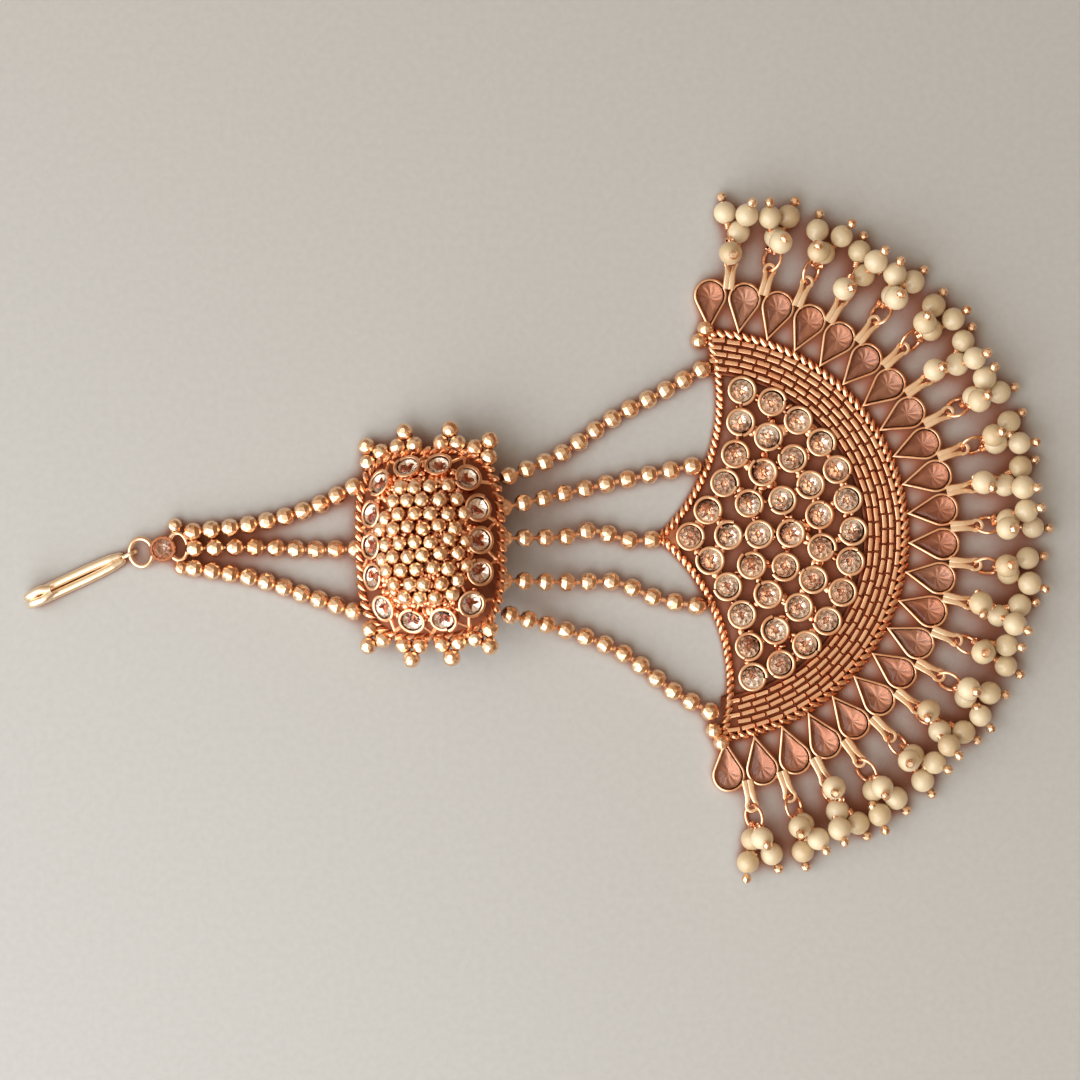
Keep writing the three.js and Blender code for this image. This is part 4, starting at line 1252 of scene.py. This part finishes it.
cup = sweep(polar(LINK_RADIUS - 0.2, np.arange(0, -360, -12)),
            [(-0.2, 0.2), (0.2, 0.2), (0.2, 2.35), (-0.2, 2.35)], closed=True)
cup_floor = lathe([(0, 0.2), (LINK_RADIUS - 0.3, 0.2), (LINK_RADIUS - 0.3, 0.9), (0, 0.9)], 30)
loops = together([oval_loop(HOOK_LOOP, HOOK_LOOP_PLACE),
                  oval_loop(STRING_LOOP, STRING_LOOP_PLACE), cup, cup_floor])
link_balls = shift([[STRING_LOOP_PLACE, side * (STRING_LOOP[1] + LINK_BALL), LOOP_LIFT]
                    for side in (1, -1)])
write_piece("stone_link_loops", moved(loops, link_seat), bright_gold, ["stone_link"])
# The scalloped rim takes the shaded copy of the rose gold: painted shade
write_piece("stone_link_rim", moved(scalloped_rim(), link_seat), shaded_rose_gold)
write_cut("stone_link_balls", copies(cut_ball(LINK_BALL), link_seat @ link_balls), bright_gold)
write_cut("link_stone_cut", moved(brilliant(LINK_CUT, 2.2, 2.75, 1.2), link_seat), champagne,
          ["link_stone"], "champagne_stone")
write_cut("link_foil", moved(foil_cup(LINK_CUT, 1.95, 1.05, 0.95), link_seat), foil)

# %% Hair hook
HOOK_TURN = 25
HOOK_WIRE = 0.75
HOOK_LENGTH = 16.6
HOOK_FOLD = 2.5
HOOK_TIP = 3.9
HOOK_EYE = 1.1
HOOK_EYE_WIRE = 0.32
# Half of the hook: along, out, up and back, as shares of length, wire, fold and tip
HOOK_ROUTE = np.array([
    (0, 0.55, 0.02, 0), (0.12, 0.8, 0.02, 0), (0.35, 1.02, 0.02, 0), (0.65, 1.02, 0.02, 0),
    (0.9, 0.9, 0.02, 0), (0.98, 0.85, 0.12, 0), (1, 0.85, 0.5, -0.02), (1, 0.85, 0.9, 0.2),
    (1, 1, 1, 0.6), (1, 0.4, 0.94, 1),
])
hook_seat = (link_seat @ shift([HOOK_LOOP_PLACE - HOOK_LOOP[0], 0, 0])
             @ turn("z", HOOK_TURN - LINK_TURN))[0]


def hook_leg(side):
    """One leg of the folded wire along the route, mirrored for the other side."""
    along, out, up, back = HOOK_ROUTE.T
    points = np.stack([-along * HOOK_LENGTH + back * HOOK_TIP - HOOK_EYE,
                       side * out * HOOK_WIRE, HOOK_WIRE + up * HOOK_FOLD], -1)
    thin_at_the_eye = np.interp(np.linspace(0, 1, 90), [0, 0.02, 0.1], [0.4, 0.75, 1])
    return sweep(route(points, 90), round_section(HOOK_WIRE, 14), size=thin_at_the_eye)


upright = polar(HOOK_EYE, np.arange(0, -360, -12)) @ turn("x", 90)[0, :3, :3].T
hook_eye = sweep(upright + [0, 0, LOOP_LIFT], round_section(HOOK_EYE_WIRE), closed=True)
write_piece("hair_hook_wire", moved(together([hook_leg(1), hook_leg(-1), hook_eye]), hook_seat),
            pale_gold, ["hair_hook"], "pale_gold_plate")

# %% [markdown]
# ## Paper, light and camera
# The jewel lies on pale warm paper under soft daylight from the lower left, and the camera
# looks straight down from above. Between crowded wires and pearls the photograph's paper is
# brown with the light that the metal throws down, so the paper darkens to that brown where
# the jewel hides much of its sky.

# %% Paper
PAPER_SHADE_REACH = 0.008  # metres


def paper():
    material, tree, surface = new_material("paper", Roughness=0.85, Specular_IOR_Level=0.2)
    place = add_node(tree, "ShaderNodeTexCoord")
    fibre = add_node(tree, "ShaderNodeTexNoise", Scale=900.0, Detail=4.0)
    shade = ramp(tree, [(0.3, (0.47, 0.46, 0.44)), (0.7, (0.5, 0.49, 0.47))])
    # Painted shade: occlusion paints the paper brown near the jewel, as its shade and the metal's
    # reflected light
    cover = add_node(tree, "ShaderNodeAmbientOcclusion", Distance=PAPER_SHADE_REACH, samples=12)
    near = add_node(tree, "ShaderNodeMapRange", interpolation_type="SMOOTHSTEP",
                    From_Min=0.38, From_Max=0.73)
    painted_shade = add_node(tree, "ShaderNodeMix", data_type="RGBA", A=(0.3, 0.105, 0.055, 1.0))
    join(tree, (place, "Object", fibre, "Vector"), (fibre, "Fac", shade, "Fac"),
         (cover, "AO", near, "Value"), (near, "Result", painted_shade, "Factor"),
         (shade, "Color", painted_shade, "B"), (painted_shade, "Result", surface, "Base Color"))
    return material


FLOOR_HALF = 1.5
FLOOR_DROP = 0.00002
floor_mesh = bpy.data.meshes.new("paper_floor")
floor_mesh.from_pydata([(x * FLOOR_HALF, y * FLOOR_HALF, -FLOOR_DROP)
                        for x, y in ((-1, -1), (1, -1), (1, 1), (-1, 1))], [], [(0, 1, 2, 3)])
floor_mesh.materials.append(paper())
floor = new_object("paper_floor", floor_mesh)

# %% Light
def window(place, size, watts, colour):
    """A wide area light that faces the jewel's middle."""
    light = bpy.data.lights.new("window", "AREA")
    light.shape = "RECTANGLE"
    light.size, light.size_y = size
    light.energy, light.color = watts, colour
    lamp = new_object("window", light)
    lamp.matrix_world = Matrix(aim(np.array([place]), np.array([place]) * 2)[0].tolist())


window((-0.25, -0.2, 0.25), (0.68, 0.56), 2.95, (0.9, 0.95, 1.0))


def sky():
    """Room light that falls from a bright left to a dark right: a ramp over the direction."""
    world = bpy.data.worlds.new("room")
    world.use_nodes = True
    tree = world.node_tree
    place = add_node(tree, "ShaderNodeTexCoord")
    toward = add_node(tree, "ShaderNodeVectorMath", operation="DOT_PRODUCT")
    toward.inputs[1].default_value = (-0.62, -0.2, 0.76)
    shade = ramp(tree, [(0.0, (0.32, 0.17, 0.09)), (0.35, (0.66, 0.5, 0.36)),
                        (0.6, (0.9, 0.79, 0.64)), (0.9, (1.0, 0.95, 0.85))])
    air = set_values(tree.nodes["Background"], {"Strength": 0.8})
    join(tree, (place, "Generated", toward, 0), (toward, "Value", shade, "Fac"),
         (shade, "Color", air, "Color"))
    return world


bpy.context.scene.world = sky()
bpy.context.scene.view_settings.view_transform = "Standard"

# %% Camera
PIXEL = 0.162  # mm of the jewel to a pixel of the picture
PICTURE = 1080
PICTURE_MIDDLE = np.array([-26.24, -0.65, 0.0]) + FAN_MIDDLE
CAMERA_HEIGHT = 520.0
camera = bpy.data.cameras.new("camera")
camera.sensor_width = 36.0
camera.lens = camera.sensor_width * CAMERA_HEIGHT / (PIXEL * PICTURE)
view = new_object("camera", camera)
view.location = (PICTURE_MIDDLE + [0, 0, CAMERA_HEIGHT]) * MM
bpy.context.scene.camera = view
